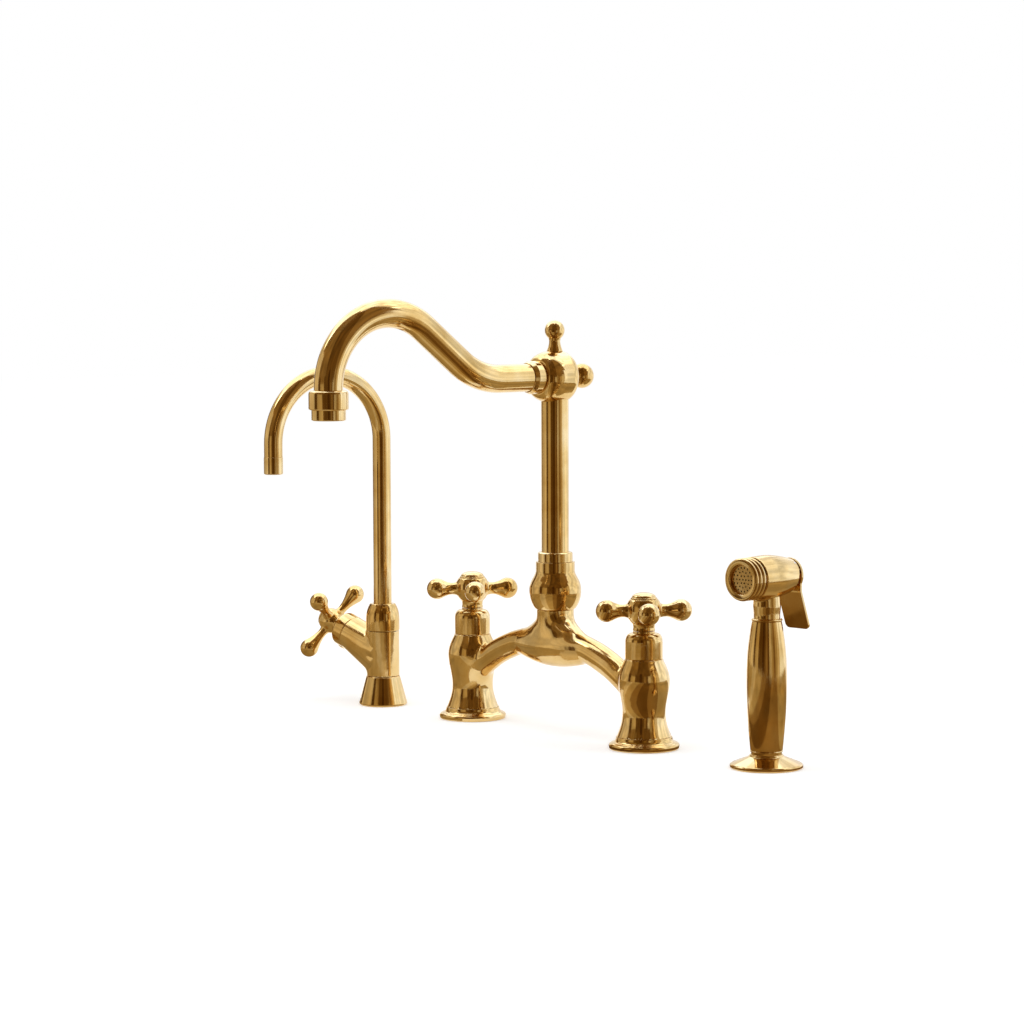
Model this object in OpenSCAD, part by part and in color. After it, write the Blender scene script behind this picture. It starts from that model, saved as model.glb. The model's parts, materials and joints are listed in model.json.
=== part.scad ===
// Three piece brass kitchen tap set on one worktop: a bridge mixer with a swan neck spout,
// a small gooseneck drinking water tap on its left and a hand spray in its holder on its right.
// The origin is on the worktop under the mixer's spout column, +Z up, -Y towards the user.

/* [Layout] */
// Distance between the hot and cold legs
leg_spacing = 203.2; // [190:0.1:240]
// Distance from the hot leg to the drinking water tap, along X
filter_offset = 105.4; // [100:0.1:130]
// How far the drinking water tap stands in front of the legs
filter_forward = 9; // [0:0.5:20]
// Distance from the cold leg to the hand spray, along X
spray_offset = 121.4; // [85:0.1:150]
// How far the hand spray stands behind the legs
spray_back = 8.5; // [0:0.5:20]
// Thickness of the worktop that the set is clamped to
worktop_t = 30; // [12:1:38]

/* [Bridge legs] */
// Diameter of the foot flange
flange_d = 52; // [50:0.5:60]
// Height of the foot flange
flange_h = 9.2; // [8:0.1:12]
// Diameter of the leg where it stands on the flange
leg_foot_d = 40.4; // [39:0.1:42]
// Diameter of the leg's waist
leg_waist_d = 31.8; // [30:0.1:34]
// Height of the waist above the flange
leg_waist_h = 17; // [14:0.1:20]
// Diameter of the leg's bulge
leg_bulge_d = 38.2; // [36:0.1:40]
// Height of the bulge above the flange
leg_bulge_h = 41.5; // [38:0.1:44]
// Diameter of the leg's top, where the bonnet sits
leg_top_d = 27.6; // [27:0.1:30]
// Height of the leg above the flange
leg_h = 57.1; // [55:0.1:62]
// Diameter of the foot seal's middle
foot_seal_d = 42; // [40:0.5:43]
// Width of the foot seal
foot_seal_w = 3.9; // [3:0.1:4.5]
// Thickness of the foot seal
foot_seal_t = 1.5; // [1:0.1:2]

/* [Bridge] */
// Diameter of the bridge's arms
arm_d = 19.4; // [18:0.1:20]
// Height of the arms' centreline over the worktop at the middle
arm_top_z = 71.4; // [70:0.1:73]
// How far the arms' centreline falls from the middle to a leg
arm_drop = 38.2; // [37:0.1:40]
// Largest diameter of the belly at the middle
belly_d = 30.6; // [30:0.1:32]
// Length of the belly along the arms
belly_l = 108; // [100:1:116]
// Diameter of the belly's ends, inside the arms
belly_end_d = 11; // [8:0.5:13]
// Height of the belly's centreline
belly_z = 66; // [65:0.1:67]
// Diameter of the neck over the belly
neck_d = 28.8; // [28:0.1:30]
// Height of the neck's top
neck_z = 94.3; // [93:0.1:97]
// Diameter of the web between the neck and an arm
web_d = 17; // [15:0.5:18]
// Length of the web along an arm
web_l = 50; // [44:1:52]
// Height of the web's centre at the neck
web_top_z = 79; // [77:0.5:80]
// Diameter of the waterway in the arms
arm_bore_d = 12; // [10:0.5:13]

/* [Supply tails] */
// Outer diameter of the threaded tails
tail_d = 20.96; // [20:0.01:21]
// Inner diameter of the tails
tail_bore_d = 14; // [12:0.5:15]
// Length of the tails under the worktop's top
tail_l = 62; // [62:1:80]
// How far a tail screws into its leg
tail_in = 16.8; // [14:0.1:17]
// Diameter of the clamping washers
washer_d = 38; // [34:0.5:44]
// Thickness of the rubber washer
rubber_t = 3; // [2:0.5:4]
// Thickness of the steel washer
steel_t = 2; // [1:0.5:3]
// Width of the backnut across its flats
backnut_af = 30; // [27:0.5:34]
// Height of the backnut
backnut_h = 9; // [7:0.5:9]
// Length of the free thread at a tail's or shank's lower end
free_thread_l = 14; // [12:0.5:15]
// Width of the groove that ends the free thread
groove_l = 1.4; // [1:0.1:1.8]
// Depth of that groove
groove_depth = 0.6; // [0.4:0.1:0.8]

/* [Valves] */
// Diameter of the bonnet
bonnet_d = 27.6; // [27:0.1:30]
// Height of the bonnet's shell
bonnet_h = 19.1; // [18:0.1:22]
// Inner diameter of the bonnet
bonnet_bore_d = 24.8; // [24:0.1:25.2]
// Diameter of the bonnet's top boss
boss_d = 16.4; // [15:0.1:18]
// Height of the bonnet's top boss
boss_h = 1.3; // [0.8:0.1:2]
// Height of the bonnet's rounded shoulder
bonnet_shoulder_h = 6.1; // [5:0.1:7]
// Diameter of the cartridge's thread
cartridge_d = 20.96; // [20:0.01:21]
// Diameter of the cartridge below its thread
cartridge_low_d = 17.6; // [16:0.1:18.5]
// Diameter of the cartridge's neck, which goes through the bonnet
cartridge_neck_d = 13; // [12:0.1:13.4]
// Length of the cartridge's thread
cartridge_thread_l = 14; // [10:0.5:15]
// Diameter of the cartridge's flange
cartridge_flange_d = 23.6; // [22:0.1:23.8]
// Thickness of the cartridge's flange
cartridge_flange_h = 4; // [3:0.1:5]
// Depth of the valve seat below the bonnet
seat_depth = 33.3; // [32:0.1:33.5]
// Diameter of the hole through the valve seat
seat_bore_d = 11.2; // [10:0.1:11.6]
// Thickness of the valve seat's seal
seat_seal_t = 2; // [1.5:0.1:2.5]
// Diameter of the spindle
spindle_d = 8; // [7:0.1:8.4]
// Depth of the spindle's lower end below the bonnet
spindle_depth = 12; // [10:0.5:14]

/* [Cross handles] */
// Diameter of the handle's hub
hub_d = 24.6; // [23.5:0.1:26]
// Height of the hub's centre over the bonnet's shell
hub_lift = 16.3; // [15.2:0.1:17]
// Half of the hub's height, from its centre to the cap's rim
hub_half_h = 8.5; // [8:0.1:9]
// Diameter of the skirt under the hub
skirt_d = 15.4; // [14:0.1:16]
// Gap between the skirt and the bonnet's boss
skirt_gap = 0.5; // [0.3:0.1:1]
// Distance from the spindle's axis to the centre of an arm's ball
arm_reach = 27.4; // [26:0.1:30]
// Diameter of an arm's ball
arm_ball_d = 16.3; // [14:0.1:17]
// Diameter of an arm at its thinnest
arm_waist_d = 8.8; // [7:0.1:10]
// Turn of the mixer's cross handles when closed
cross_turn = -33.5; // [-45:0.5:45]
// Diameter of the handle's cap
cap_d = 19.5; // [18:0.1:20]
// Height of the cap's dome
cap_h = 5; // [3:0.1:6]
// Diameter of the cap's spigot
cap_spigot_d = 14.8; // [13:0.1:15.5]
// Height of the cap's spigot
cap_spigot_h = 2.9; // [2:0.1:3]
// Diameter of the handle screw
screw_d = 4.9; // [4:0.1:5]
// Diameter of the handle screw's head
screw_head_d = 9.2; // [8:0.1:10]
// Height of the handle screw's head
screw_head_h = 3; // [2:0.1:3.2]
// Length of the handle screw under its head
screw_l = 13; // [10:0.5:14]

/* [Spout column] */
// Diameter of the column and of the spout's tube
tube_d = 20.8; // [20:0.1:21.4]
// Wall thickness of the column and the spout's tube
tube_wall = 1.4; // [1:0.1:2]
// Diameter of the vase's foot
vase_foot_d = 29.2; // [28:0.1:31]
// Largest diameter of the vase
vase_d = 39.2; // [38:0.1:42]
// Height of the vase's widest place over its foot
vase_wide_h = 13.4; // [12:0.1:15]
// Diameter of the vase's top
vase_top_d = 29.6; // [29.2:0.1:31]
// Height at which the vase has narrowed to its top's diameter
vase_shoulder_h = 29.5; // [27:0.1:31]
// Height of the vase
vase_h = 36; // [34:0.1:38]
// Diameter of the vase's threaded spigot
vase_spigot_d = 22; // [20:0.1:22.4]
// Length of the vase's threaded spigot
vase_spigot_l = 12; // [10:0.5:13]
// Diameter of the socket in the vase
socket_d = 25.4; // [25:0.1:26]
// Depth of the socket in the vase
socket_depth = 29; // [27:0.1:30]
// Diameter of the collar nut on the vase
nut_d = 26.4; // [26:0.1:28]
// Height of the collar nut on the vase
nut_h = 7.4; // [6:0.1:9]
// Length of the collar nut's threaded spigot
nut_spigot_l = 6; // [5:0.1:7]
// Height of the foot on the column
column_foot_h = 12; // [11:0.1:13]
// Width of an O-ring groove in the column's foot
groove_w = 2.2; // [2:0.1:2.4]
// Thickness of the column's O-rings
oring_d = 1.9; // [1.7:0.1:2]
// Height of the spout's centreline over the worktop
spout_z = 269.6; // [262:0.1:290]

/* [Spout head] */
// Diameter of the spout head's drum
drum_d = 39; // [37:0.1:42]
// Half of the drum's flat width
drum_half_w = 5; // [3:0.1:6]
// Distance from the column's axis to the drum's rear face
drum_rear = 10.6; // [10.5:0.1:11.5]
// Distance from the column's axis to the drum's front face
drum_front = 17.2; // [16.5:0.1:19]
// Diameter of the collar on the spout
collar_d = 24.8; // [24:0.1:27]
// Length of the collar on the spout
collar_l = 10; // [8:0.1:12]
// Chamfer on the collar's front end
collar_chamfer = 1.4; // [1:0.1:1.8]
// Length of the collar's chamfer along the spout
collar_chamfer_l = 3.2; // [2:0.1:4]
// Diameter of the rear knob
knob_d = 18.6; // [17:0.1:20]
// Diameter of the knob's neck
knob_neck_d = 11; // [10:0.1:13]
// Diameter of the knob's foot on the drum
knob_foot_d = 15; // [14:0.1:17]
// Distance from the column's axis to the centre of the rear knob's round end
knob_reach = 26.3; // [24:0.1:30]
// Diameter of the rear knob's and finial's threaded spigots
spigot_d = 5; // [4:0.1:6]
// Length of the rear knob's and finial's threaded spigots
spigot_l = 5; // [4:0.1:6]
// Diameter of the finial's ball
finial_ball_d = 15; // [13:0.1:17]
// Diameter of the finial's foot
finial_foot_d = 10.6; // [9.5:0.1:12]
// Diameter of the finial's neck
finial_neck_d = 7.6; // [6:0.1:8]
// Height of the finial's ball centre over the drum's top
finial_h = 15.4; // [13:0.1:18]

/* [Swan neck] */
// Distance from the column's axis to where the spout starts to rise
rise_start = 53.2; // [48:0.1:60]
// Radius of the rising bend
rise_r = 60.3; // [55:0.1:70]
// Angle of the rise
rise_angle = 38; // [30:0.5:45]
// Length of the straight stretch of the rise
rise_l = 42.3; // [35:0.1:50]
// Radius of the top bend
top_r = 52.6; // [48:0.1:60]

/* [Outlet] */
// Diameter of the outlet's upper ring
outlet_d = 28.7; // [27:0.1:31]
// Height of the outlet's upper ring
outlet_h = 14.1; // [13:0.1:17]
// Distance from the top bend's end to the upper ring's top
outlet_drop = 1; // [0.5:0.1:4]
// Diameter of the aerator housing
aerator_d = 24.6; // [23:0.1:25.4]
// Height of the aerator housing below the upper ring
aerator_h = 7.6; // [7:0.1:9]
// Length of the aerator housing's thread
aerator_thread_l = 5.7; // [5:0.1:6]
// Diameter of the aerator housing's thread
aerator_thread_d = 21.6; // [21.2:0.1:22]
// Diameter of the aerator insert
insert_d = 18.6; // [17:0.1:19]

/* [Drinking water tap] */
// Diameter of the foot
filter_foot_d = 38; // [35:0.5:42]
// Height of the conical foot
filter_foot_h = 23.5; // [22:0.1:26]
// Diameter of the body
filter_body_d = 26.6; // [26:0.1:28]
// Height of the body
filter_body_h = 60; // [54:0.1:66]
// Depth under the body's top at which the valve branch's axis meets the body's axis
branch_fall = 17.2; // [17:0.1:18]
// Clearance round the nut where the branch is spot faced for it
nut_face_gap = 0.3; // [0.2:0.05:0.5]
// Tilt of the valve branch over the horizontal
branch_tilt = 20; // [19:0.5:21]
// Turn of the valve branch towards the user
branch_turn = 10.5; // [0:0.5:15]
// Length of the valve branch from the body's axis
branch_l = 36.3; // [36:0.1:40]
// Diameter of the valve branch
branch_d = 26.4; // [26:0.1:26.6]
// Diameter of the tail
filter_tail_d = 15.9; // [14:0.1:16]
// Inner diameter of the tail
filter_tail_bore_d = 9; // [8:0.5:10]
// Length of the tail under the worktop's top
filter_tail_l = 58; // [56:1:70]
// How far the tail screws into the body
filter_tail_in = 14; // [12:0.5:15]
// Width of the backnut across its flats
filter_backnut_af = 24; // [22:0.5:30]
// Diameter of the spout's tube
riser_d = 14.5; // [14:0.1:15]
// Wall thickness of the spout's tube
riser_wall = 1.2; // [1:0.1:1.6]
// Radius of the gooseneck bend
goose_r = 52.5; // [45:0.5:60]
// Height of the gooseneck bend's centre
goose_z = 214; // [200:0.5:240]
// Length of the straight stretch after the bend
goose_end_l = 10; // [6:0.5:16]
// Height of the nut that holds the spout
filter_nut_h = 20.8; // [19:0.1:24]
// Diameter of that nut at its top
filter_nut_top_d = 20.2; // [19:0.1:22]
// Diameter of the threaded boss on the body
filter_boss_d = 21; // [20.6:0.1:21.6]
// Height of the threaded boss on the body
filter_boss_h = 8; // [7:0.1:9]
// Diameter of the foot on the spout's tube
riser_foot_d = 17.9; // [17.5:0.1:18.2]
// Height of the foot on the spout's tube
riser_foot_h = 12; // [11:0.1:12.4]
// Diameter of the outlet nozzle
nozzle_d = 15; // [14.8:0.1:17]
// Length of the outlet nozzle
nozzle_l = 13.4; // [11:0.1:18]
// Length of the nozzle's spigot inside the tube
nozzle_spigot_l = 6; // [4:0.1:8]
// Diameter of the nozzle's bore
nozzle_bore_d = 8; // [6:0.1:9]

/* [Drinking water valve] */
// Height of the bonnet's shell
filter_bonnet_h = 12.4; // [12:0.1:15]
// Height of the bonnet's rounded shoulder
filter_shoulder_h = 4.6; // [4:0.1:6]
// Inner diameter of the bonnet
filter_bonnet_bore_d = 21.6; // [21:0.1:22]
// Diameter of the bonnet's top boss
filter_boss_cap_d = 14; // [13.4:0.1:15]
// Diameter of the cartridge's thread
filter_cartridge_d = 17.96; // [17:0.01:18]
// Diameter of the cartridge below its thread
filter_cartridge_low_d = 15; // [14:0.1:16]
// Diameter of the cartridge's neck
filter_neck_d = 11; // [10:0.1:11.4]
// Length of the cartridge's thread
filter_cartridge_thread_l = 9; // [7:0.5:9]
// Diameter of the cartridge's flange
filter_flange_d = 20.4; // [19:0.1:21]
// Depth of the valve seat below the bonnet
filter_seat_depth = 22; // [21:0.1:23]
// Diameter of the hole through the valve seat
filter_seat_bore_d = 9; // [8:0.1:9.4]
// Diameter of the spindle
filter_spindle_d = 7; // [6:0.1:7.4]
// Depth of the spindle's lower end below the bonnet
filter_spindle_depth = 8; // [6:0.1:8.4]
// Turn of the cross handle when closed
filter_cross_turn = 41; // [0:1:90]
// Height of the hub's centre over the bonnet's shell
filter_hub_lift = 11.3; // [11.2:0.1:13]
// Diameter of the handle's hub
filter_hub_d = 20; // [19:0.1:22]
// Half of the hub's height, from its centre to the cap's rim
filter_hub_half_h = 7.2; // [7:0.1:8]
// Diameter of the skirt under the hub
filter_skirt_d = 13; // [12:0.1:13.6]
// Distance from the spindle's axis to the centre of an arm's ball
filter_arm_reach = 29.6; // [27:0.1:31]
// Diameter of an arm's ball
filter_ball_d = 14.2; // [13:0.1:16]
// Diameter of an arm at its thinnest
filter_arm_waist_d = 6.4; // [6:0.1:8]
// Diameter of the handle's cap
filter_cap_d = 15.6; // [15:0.1:16.4]
// Height of the cap's dome
filter_cap_h = 4.2; // [3:0.1:5]
// Diameter of the cap's spigot
filter_cap_spigot_d = 11.6; // [10.6:0.1:12]
// Height of the cap's spigot
filter_cap_spigot_h = 2.4; // [2:0.1:2.6]
// Diameter of the handle screw
filter_screw_d = 3.9; // [3.4:0.1:4]
// Diameter of the handle screw's head
filter_screw_head_d = 7.6; // [7:0.1:8]
// Height of the handle screw's head
filter_screw_head_h = 2.4; // [2:0.1:2.5]
// Length of the handle screw under its head
filter_screw_l = 10; // [8:0.5:11]

/* [Spray holder] */
// Diameter of the holder's flange
holder_d = 51.8; // [48:0.1:60]
// Thickness of the flange at its edge
holder_edge = 3.2; // [2.5:0.1:4]
// Height of the holder
holder_h = 9.8; // [8.5:0.1:11]
// Diameter of the holder's threaded shank
shank_d = 25; // [24:0.1:28]
// Length of the shank under the worktop's top
shank_l = 58; // [58:1:70]
// Width of the shank's backnut across its flats
shank_nut_af = 36; // [33:0.5:40]
// Diameter of the guide's sleeve
guide_d = 19; // [18:0.1:19.4]
// Inner diameter of the guide's sleeve
guide_bore_d = 16.2; // [15.6:0.1:17]
// Length of the guide's sleeve
guide_l = 22; // [14:0.5:28]
// Thickness of the guide's flange
guide_flange_t = 1.4; // [1:0.1:1.8]
// Height of the holder's socket floor
holder_floor = 2.2; // [2:0.1:2.6]

/* [Hand spray] */
// Diameter of the spray's lower ferrule
ferrule_d = 21.6; // [21:0.1:22]
// Height of the bead over the ferrule
bead_z = 11.4; // [11.2:0.1:13]
// Diameter of the lower bead
bead_d = 23.2; // [23:0.1:25]
// Height of a bead
bead_h = 1.2; // [1:0.1:1.6]
// Diameter of the grip at its lower end
grip_low_d = 23; // [23:0.1:24]
// Largest diameter of the grip
grip_d = 28.6; // [26:0.1:31]
// Height of the grip's widest place over its lower end
grip_wide_h = 48; // [42:0.5:54]
// Diameter of the grip at its upper end
grip_top_d = 21; // [20.6:0.1:22]
// Length of the grip
grip_l = 91.6; // [85:0.1:100]
// Inner diameter of the grip
grip_bore_d = 17; // [16:0.1:18]
// Diameter of the hose thread
hose_thread_d = 13.16; // [12:0.01:14]
// Length of the hose thread
hose_thread_l = 13.6; // [12:0.1:15]
// Diameter of the neck over the grip
spray_neck_d = 19.6; // [19:0.1:20]
// Height of the head's axis over the neck's lower end
head_lift = 29.8; // [27:0.1:33]
// Turn of the spray in its holder
head_turn = 5.6; // [-20:0.1:20]
// Largest diameter of the head
head_d = 31.6; // [30:0.1:34]
// Diameter of the head where the face ring meets it
head_front_d = 30.6; // [30:0.1:32]
// Diameter of the head's rear end
head_rear_d = 24; // [23:0.1:25]
// Distance from the grip's axis to the head's front shoulder
head_front = 16.5; // [14:0.1:19]
// Distance from the grip's axis to the head's rear end
head_rear = 22.6; // [22:0.1:24]
// Inner diameter of the head
head_bore_d = 22; // [20:0.1:23]
// Diameter of the head's threaded front spigot
head_spigot_d = 26.8; // [26:0.1:27.2]
// Length of the head's threaded front spigot
head_spigot_l = 7; // [6:0.1:7.5]
// Diameter of the face ring
ring_d = 30.4; // [30:0.1:32]
// Length of the face ring
ring_l = 11.6; // [11:0.1:12.5]
// Thickness of the rose plate
rose_t = 2; // [1.5:0.1:2.2]
// Diameter of the face ring's opening
face_d = 20.6; // [19:0.1:22]
// Diameter of the rose's holes
rose_hole_d = 1.2; // [0.8:0.1:1.4]
// Number of rings of holes around the rose's middle hole
rose_rings = 3; // [2:1:3]

/* [Spray lever] */
// Diameter of the lever's round top
lever_top_d = 24.4; // [23:0.1:25]
// Width of the lever's tongue
lever_w = 21.6; // [19:0.1:22.4]
// Thickness of the lever
lever_t = 2.2; // [1.8:0.1:2.6]
// Gap between the head's rear end and the lever
lever_gap = 0.6; // [0.5:0.1:1]
// Height of the lever's bend below the head's axis
bend_drop = 11.6; // [11:0.1:13]
// Angle of the lever's tongue
lever_angle = 14; // [10:0.5:20]
// Height of the lever's lower end below its bend
tongue_h = 26.4; // [22:0.1:30]
// Radius of the tongue's lower corners
lever_corner = 3.4; // [2:0.1:5]
// Height of the lever's pin over the head's axis
pin_rise = 8.6; // [8:0.1:9]
// Distance from the lever's front to its pin
pin_gap = 3.6; // [3.4:0.1:4]
// Diameter of the lever's pin
pin_d = 2; // [1.8:0.1:2.2]
// Width of the lever's ear
ear_w = 6; // [5:0.1:7]
// Radius of the lever's ear
ear_r = 2.3; // [2.1:0.1:2.5]
// How far the lever swings
lever_swing = 10; // [6:0.5:10]
// Diameter of the valve stem
stem_d = 4; // [3:0.1:5]
// Diameter of the stem's valve disc
disc_d = 12; // [11:0.1:14]
// Thickness of the stem's valve disc
disc_t = 2; // [1.5:0.1:2.5]
// Distance from the grip's axis to the valve's seat in the head
valve_seat = 6.5; // [6:0.1:7]
// Diameter of the hole in the valve's seat
valve_bore_d = 9; // [8:0.1:10]

/* [Clearances] */
// Radial clearance of a turning or sliding fit
run_gap = 0.05; // [0.02:0.01:0.08]
// Radial clearance of a screwed or pressed fit
seat_gap = 0.05; // [0.02:0.01:0.08]
// Axial gap between faces that turn past each other
face_gap = 0.1; // [0.05:0.01:0.2]

/* [Hidden] */
$fn = 48;

brass = [0.80, 0.60, 0.28];
bright_brass = [0.88, 0.70, 0.38];
steel = [0.72, 0.73, 0.75];
rubber = [0.12, 0.12, 0.13];
plastic = [0.85, 0.85, 0.83];

over = 1;
leg_x = leg_spacing / 2;
leg_top_z = flange_h + leg_h;
arch_r = (leg_x * leg_x + arm_drop * arm_drop) / (2 * arm_drop);
arch_z = arm_top_z - arch_r;
arch_angle = asin(leg_x / arch_r);
tail_top_z = flange_h + tail_in;
under_z = -worktop_t;
branch_z = filter_body_h - branch_fall;
filter_x = -leg_x - filter_offset;
spray_x = leg_x + spray_offset;

function swell(t) = sin(90 * t);
function ease(t) = (1 - cos(180 * t)) / 2;
function mix(a, b, t) = a + (b - a) * t;

// Walls that stand on a circle, given as a profile of radius and height, bored to radius hole
module turned(profile, hole = 0) {
  low = profile[0][1];
  high = profile[len(profile) - 1][1];
  rotate_extrude() polygon(concat([[hole, low]], profile, [[hole, high]]));
}

module tube(d, bore, z0, z1) {
  translate([0, 0, z0]) difference() {
    cylinder(d = d, h = z1 - z0);
    translate([0, 0, -over]) cylinder(d = bore, h = z1 - z0 + 2 * over);
  }
}

module hex_nut(af, bore, z0, z1) {
  translate([0, 0, z0]) difference() {
    cylinder(d = af / cos(30), h = z1 - z0, $fn = 6);
    translate([0, 0, -over]) cylinder(d = bore, h = z1 - z0 + 2 * over);
  }
}

module at_hot() translate([-leg_x, 0, 0]) children();
module at_cold() translate([leg_x, 0, 0]) children();
module at_filter() translate([filter_x, -filter_forward, 0]) children();
module at_spray() translate([spray_x, spray_back, 0]) rotate([0, 0, head_turn]) children();
module both_legs() {
  at_hot() children();
  at_cold() children();
}

// Each valve is drawn about its spindle, with height 0 where its bonnet sits
module at_hot_valve() at_hot() translate([0, 0, leg_top_z]) children();
module at_cold_valve() at_cold() translate([0, 0, leg_top_z]) children();
module at_filter_branch() at_filter() rotate([0, 0, branch_turn]) translate([0, 0, branch_z])
  rotate([0, branch_tilt - 90, 0]) children();
module at_filter_valve() at_filter_branch() translate([0, 0, branch_l]) children();

// The leg's outline: a flared foot, a waist, a bulge and a rounded shoulder
leg_steps = 8;
leg_profile = concat(
  [for (i = [0:leg_steps - 1]) let (t = i / leg_steps)
    [mix(leg_foot_d, leg_waist_d, swell(t)) / 2, flange_h + leg_waist_h * t]],
  [for (i = [0:leg_steps - 1]) let (t = i / leg_steps)
    [mix(leg_waist_d, leg_bulge_d, ease(t)) / 2, flange_h + mix(leg_waist_h, leg_bulge_h, t)]],
  [for (i = [0:leg_steps]) let (t = i / leg_steps)
    [mix(leg_top_d, leg_bulge_d, cos(90 * t)) / 2, flange_h + mix(leg_bulge_h, leg_h, t)]]
);

module leg() {
  turned(leg_profile);
}

module leg_bores() {
  translate([0, 0, flange_h - over]) cylinder(d = tail_d + 2 * seat_gap, h = tail_in + over);
  translate([0, 0, tail_top_z - over]) cylinder(d = seat_bore_d, h = leg_h);
  translate([0, 0, leg_top_z - seat_depth]) cylinder(d = cartridge_d + 2 * seat_gap, h = seat_depth + over);
}

module arch(d) {
  rotate([90, 0, 0]) translate([0, arch_z, 0]) rotate([0, 0, 90 - arch_angle])
    rotate_extrude(angle = 2 * arch_angle) translate([arch_r, 0]) circle(d = d);
}

// The web's centreline runs down to the arms' own centreline
module web() {
  fall = web_top_z - (arch_z + sqrt(arch_r * arch_r - web_l * web_l));
  for (side = [-1, 1])
    translate([0, 0, web_top_z]) rotate([0, side * (90 + atan(fall / web_l)), 0])
      cylinder(d = web_d, h = web_l);
}

// The belly lies along the arms, thick in the middle and thin at its ends
belly_steps = 8;
belly_half = [for (i = [0:belly_steps]) let (t = i / belly_steps)
  [mix(belly_end_d, belly_d, cos(90 * t)) / 2, belly_l / 2 * t]];
belly_profile = concat([for (i = [belly_steps:-1:1]) [belly_half[i][0], -belly_half[i][1]]], belly_half);

module bridge_body() color(brass) difference() {
  union() {
    both_legs() leg();
    arch(arm_d);
    web();
    translate([0, 0, belly_z]) rotate([0, 90, 0]) turned(belly_profile);
    translate([0, 0, belly_z]) cylinder(d = neck_d, h = neck_z - belly_z);
  }
  both_legs() leg_bores();
  arch(arm_bore_d);
  translate([0, 0, arm_top_z]) cylinder(d = vase_spigot_d - 6, h = neck_z);
  translate([0, 0, neck_z - vase_spigot_l])
    cylinder(d = vase_spigot_d + 2 * seat_gap, h = vase_spigot_l + over);
}

vase_top_z = neck_z + vase_h;
socket_z = vase_top_z - socket_depth;
vase_steps = 8;
vase_profile = concat(
  [for (i = [0:vase_steps - 1]) let (t = i / vase_steps)
    [mix(vase_foot_d, vase_d, swell(t)) / 2, neck_z + vase_wide_h * t]],
  [for (i = [0:vase_steps]) let (t = i / vase_steps)
    [mix(vase_d, vase_top_d, ease(t)) / 2, neck_z + mix(vase_wide_h, vase_shoulder_h, t)]],
  [[vase_top_d / 2, vase_top_z]]
);

module vase() color(brass) difference() {
  union() {
    turned(vase_profile);
    translate([0, 0, neck_z - vase_spigot_l]) cylinder(d = vase_spigot_d, h = vase_spigot_l + over);
  }
  translate([0, 0, neck_z - vase_spigot_l - over]) cylinder(d = vase_spigot_d - 6, h = vase_h);
  translate([0, 0, socket_z]) cylinder(d = socket_d, h = socket_depth + over);
}

nut_z = vase_top_z + nut_h;
column_foot_z = socket_z + face_gap;
bush_z = column_foot_z + column_foot_h + face_gap;
nut_spigot_z = vase_top_z - nut_spigot_l;
tube_bore_d = tube_d - 2 * tube_wall;
column_hole_d = tube_d + 2 * run_gap;
nut_lip = 0.9;

module column_nut() color(bright_brass) difference() {
  union() {
    turned([[nut_d / 2, vase_top_z], [nut_d / 2, nut_z - nut_lip], [nut_d / 2 - nut_lip, nut_z]]);
    translate([0, 0, nut_spigot_z]) cylinder(d = socket_d - 2 * seat_gap, h = nut_spigot_l + over);
  }
  translate([0, 0, nut_spigot_z - over]) cylinder(d = column_hole_d, h = nut_h + nut_spigot_l + 2 * over);
}

module column_bush() color(plastic)
  tube(socket_d - 2 * seat_gap, column_hole_d, bush_z, nut_spigot_z);

flange_bore_d = tail_d + 2 * seat_gap;
flange_round = 1.6;

module foot_flange() color(brass) difference() {
  turned([
    [flange_d / 2 - 1.2, 0], [flange_d / 2, flange_round], [flange_d / 2, flange_round * 2],
    [flange_d / 2 - 1.4, flange_h - 3.2], [leg_foot_d / 2 + 0.5, flange_h]
  ], flange_bore_d / 2);
  tube(foot_seal_d + foot_seal_w, foot_seal_d - foot_seal_w, -over, foot_seal_t);
}

module hot_flange() at_hot() foot_flange();
module cold_flange() at_cold() foot_flange();

module foot_seals() color(rubber) both_legs()
  tube(foot_seal_d + foot_seal_w - 2 * seat_gap, foot_seal_d - foot_seal_w + 2 * seat_gap, 0, foot_seal_t);

// The groove that ends the free thread of a tail or shank of this diameter
module thread_groove(d, l) translate([0, 0, free_thread_l - l]) difference() {
  cylinder(d = d + 2, h = groove_l);
  translate([0, 0, -over]) cylinder(d = d - 2 * groove_depth, h = groove_l + 2 * over);
}

module tail() color(bright_brass) difference() {
  tube(tail_d, tail_bore_d, -tail_l, tail_top_z);
  thread_groove(tail_d, tail_l);
}
module hot_tail() at_hot() tail();
module cold_tail() at_cold() tail();

steel_z = under_z - rubber_t - steel_t;

module rubber_washers() color(rubber) both_legs()
  tube(washer_d, flange_bore_d, under_z - rubber_t, under_z);

module steel_washers() color(steel) both_legs()
  tube(washer_d, flange_bore_d, steel_z, under_z - rubber_t);

module backnuts() color(bright_brass) both_legs()
  hex_nut(backnut_af, flange_bore_d, steel_z - backnut_h, steel_z);

// The bonnet's shell, with a rounded shoulder and a low boss round the cartridge's neck
boss_top = bonnet_h + boss_h;
filter_boss_top_h = filter_bonnet_h + boss_h;
bonnet_steps = 6;

module bonnet(d, h, shoulder, top_d, bore, neck) color(brass) difference() {
  turned(concat(
    [[d / 2, 0]],
    [for (i = [0:bonnet_steps]) let (t = i / bonnet_steps)
      [mix(top_d / 2 + 1, d / 2, cos(90 * t)), h - shoulder * (1 - swell(t))]],
    [[top_d / 2, h], [top_d / 2, h + boss_h]]
  ));
  translate([0, 0, -over]) cylinder(d = bore, h = h - shoulder + 1 + over);
  cylinder(d = neck + 2 * seat_gap, h = h + boss_h + over);
}

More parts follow.
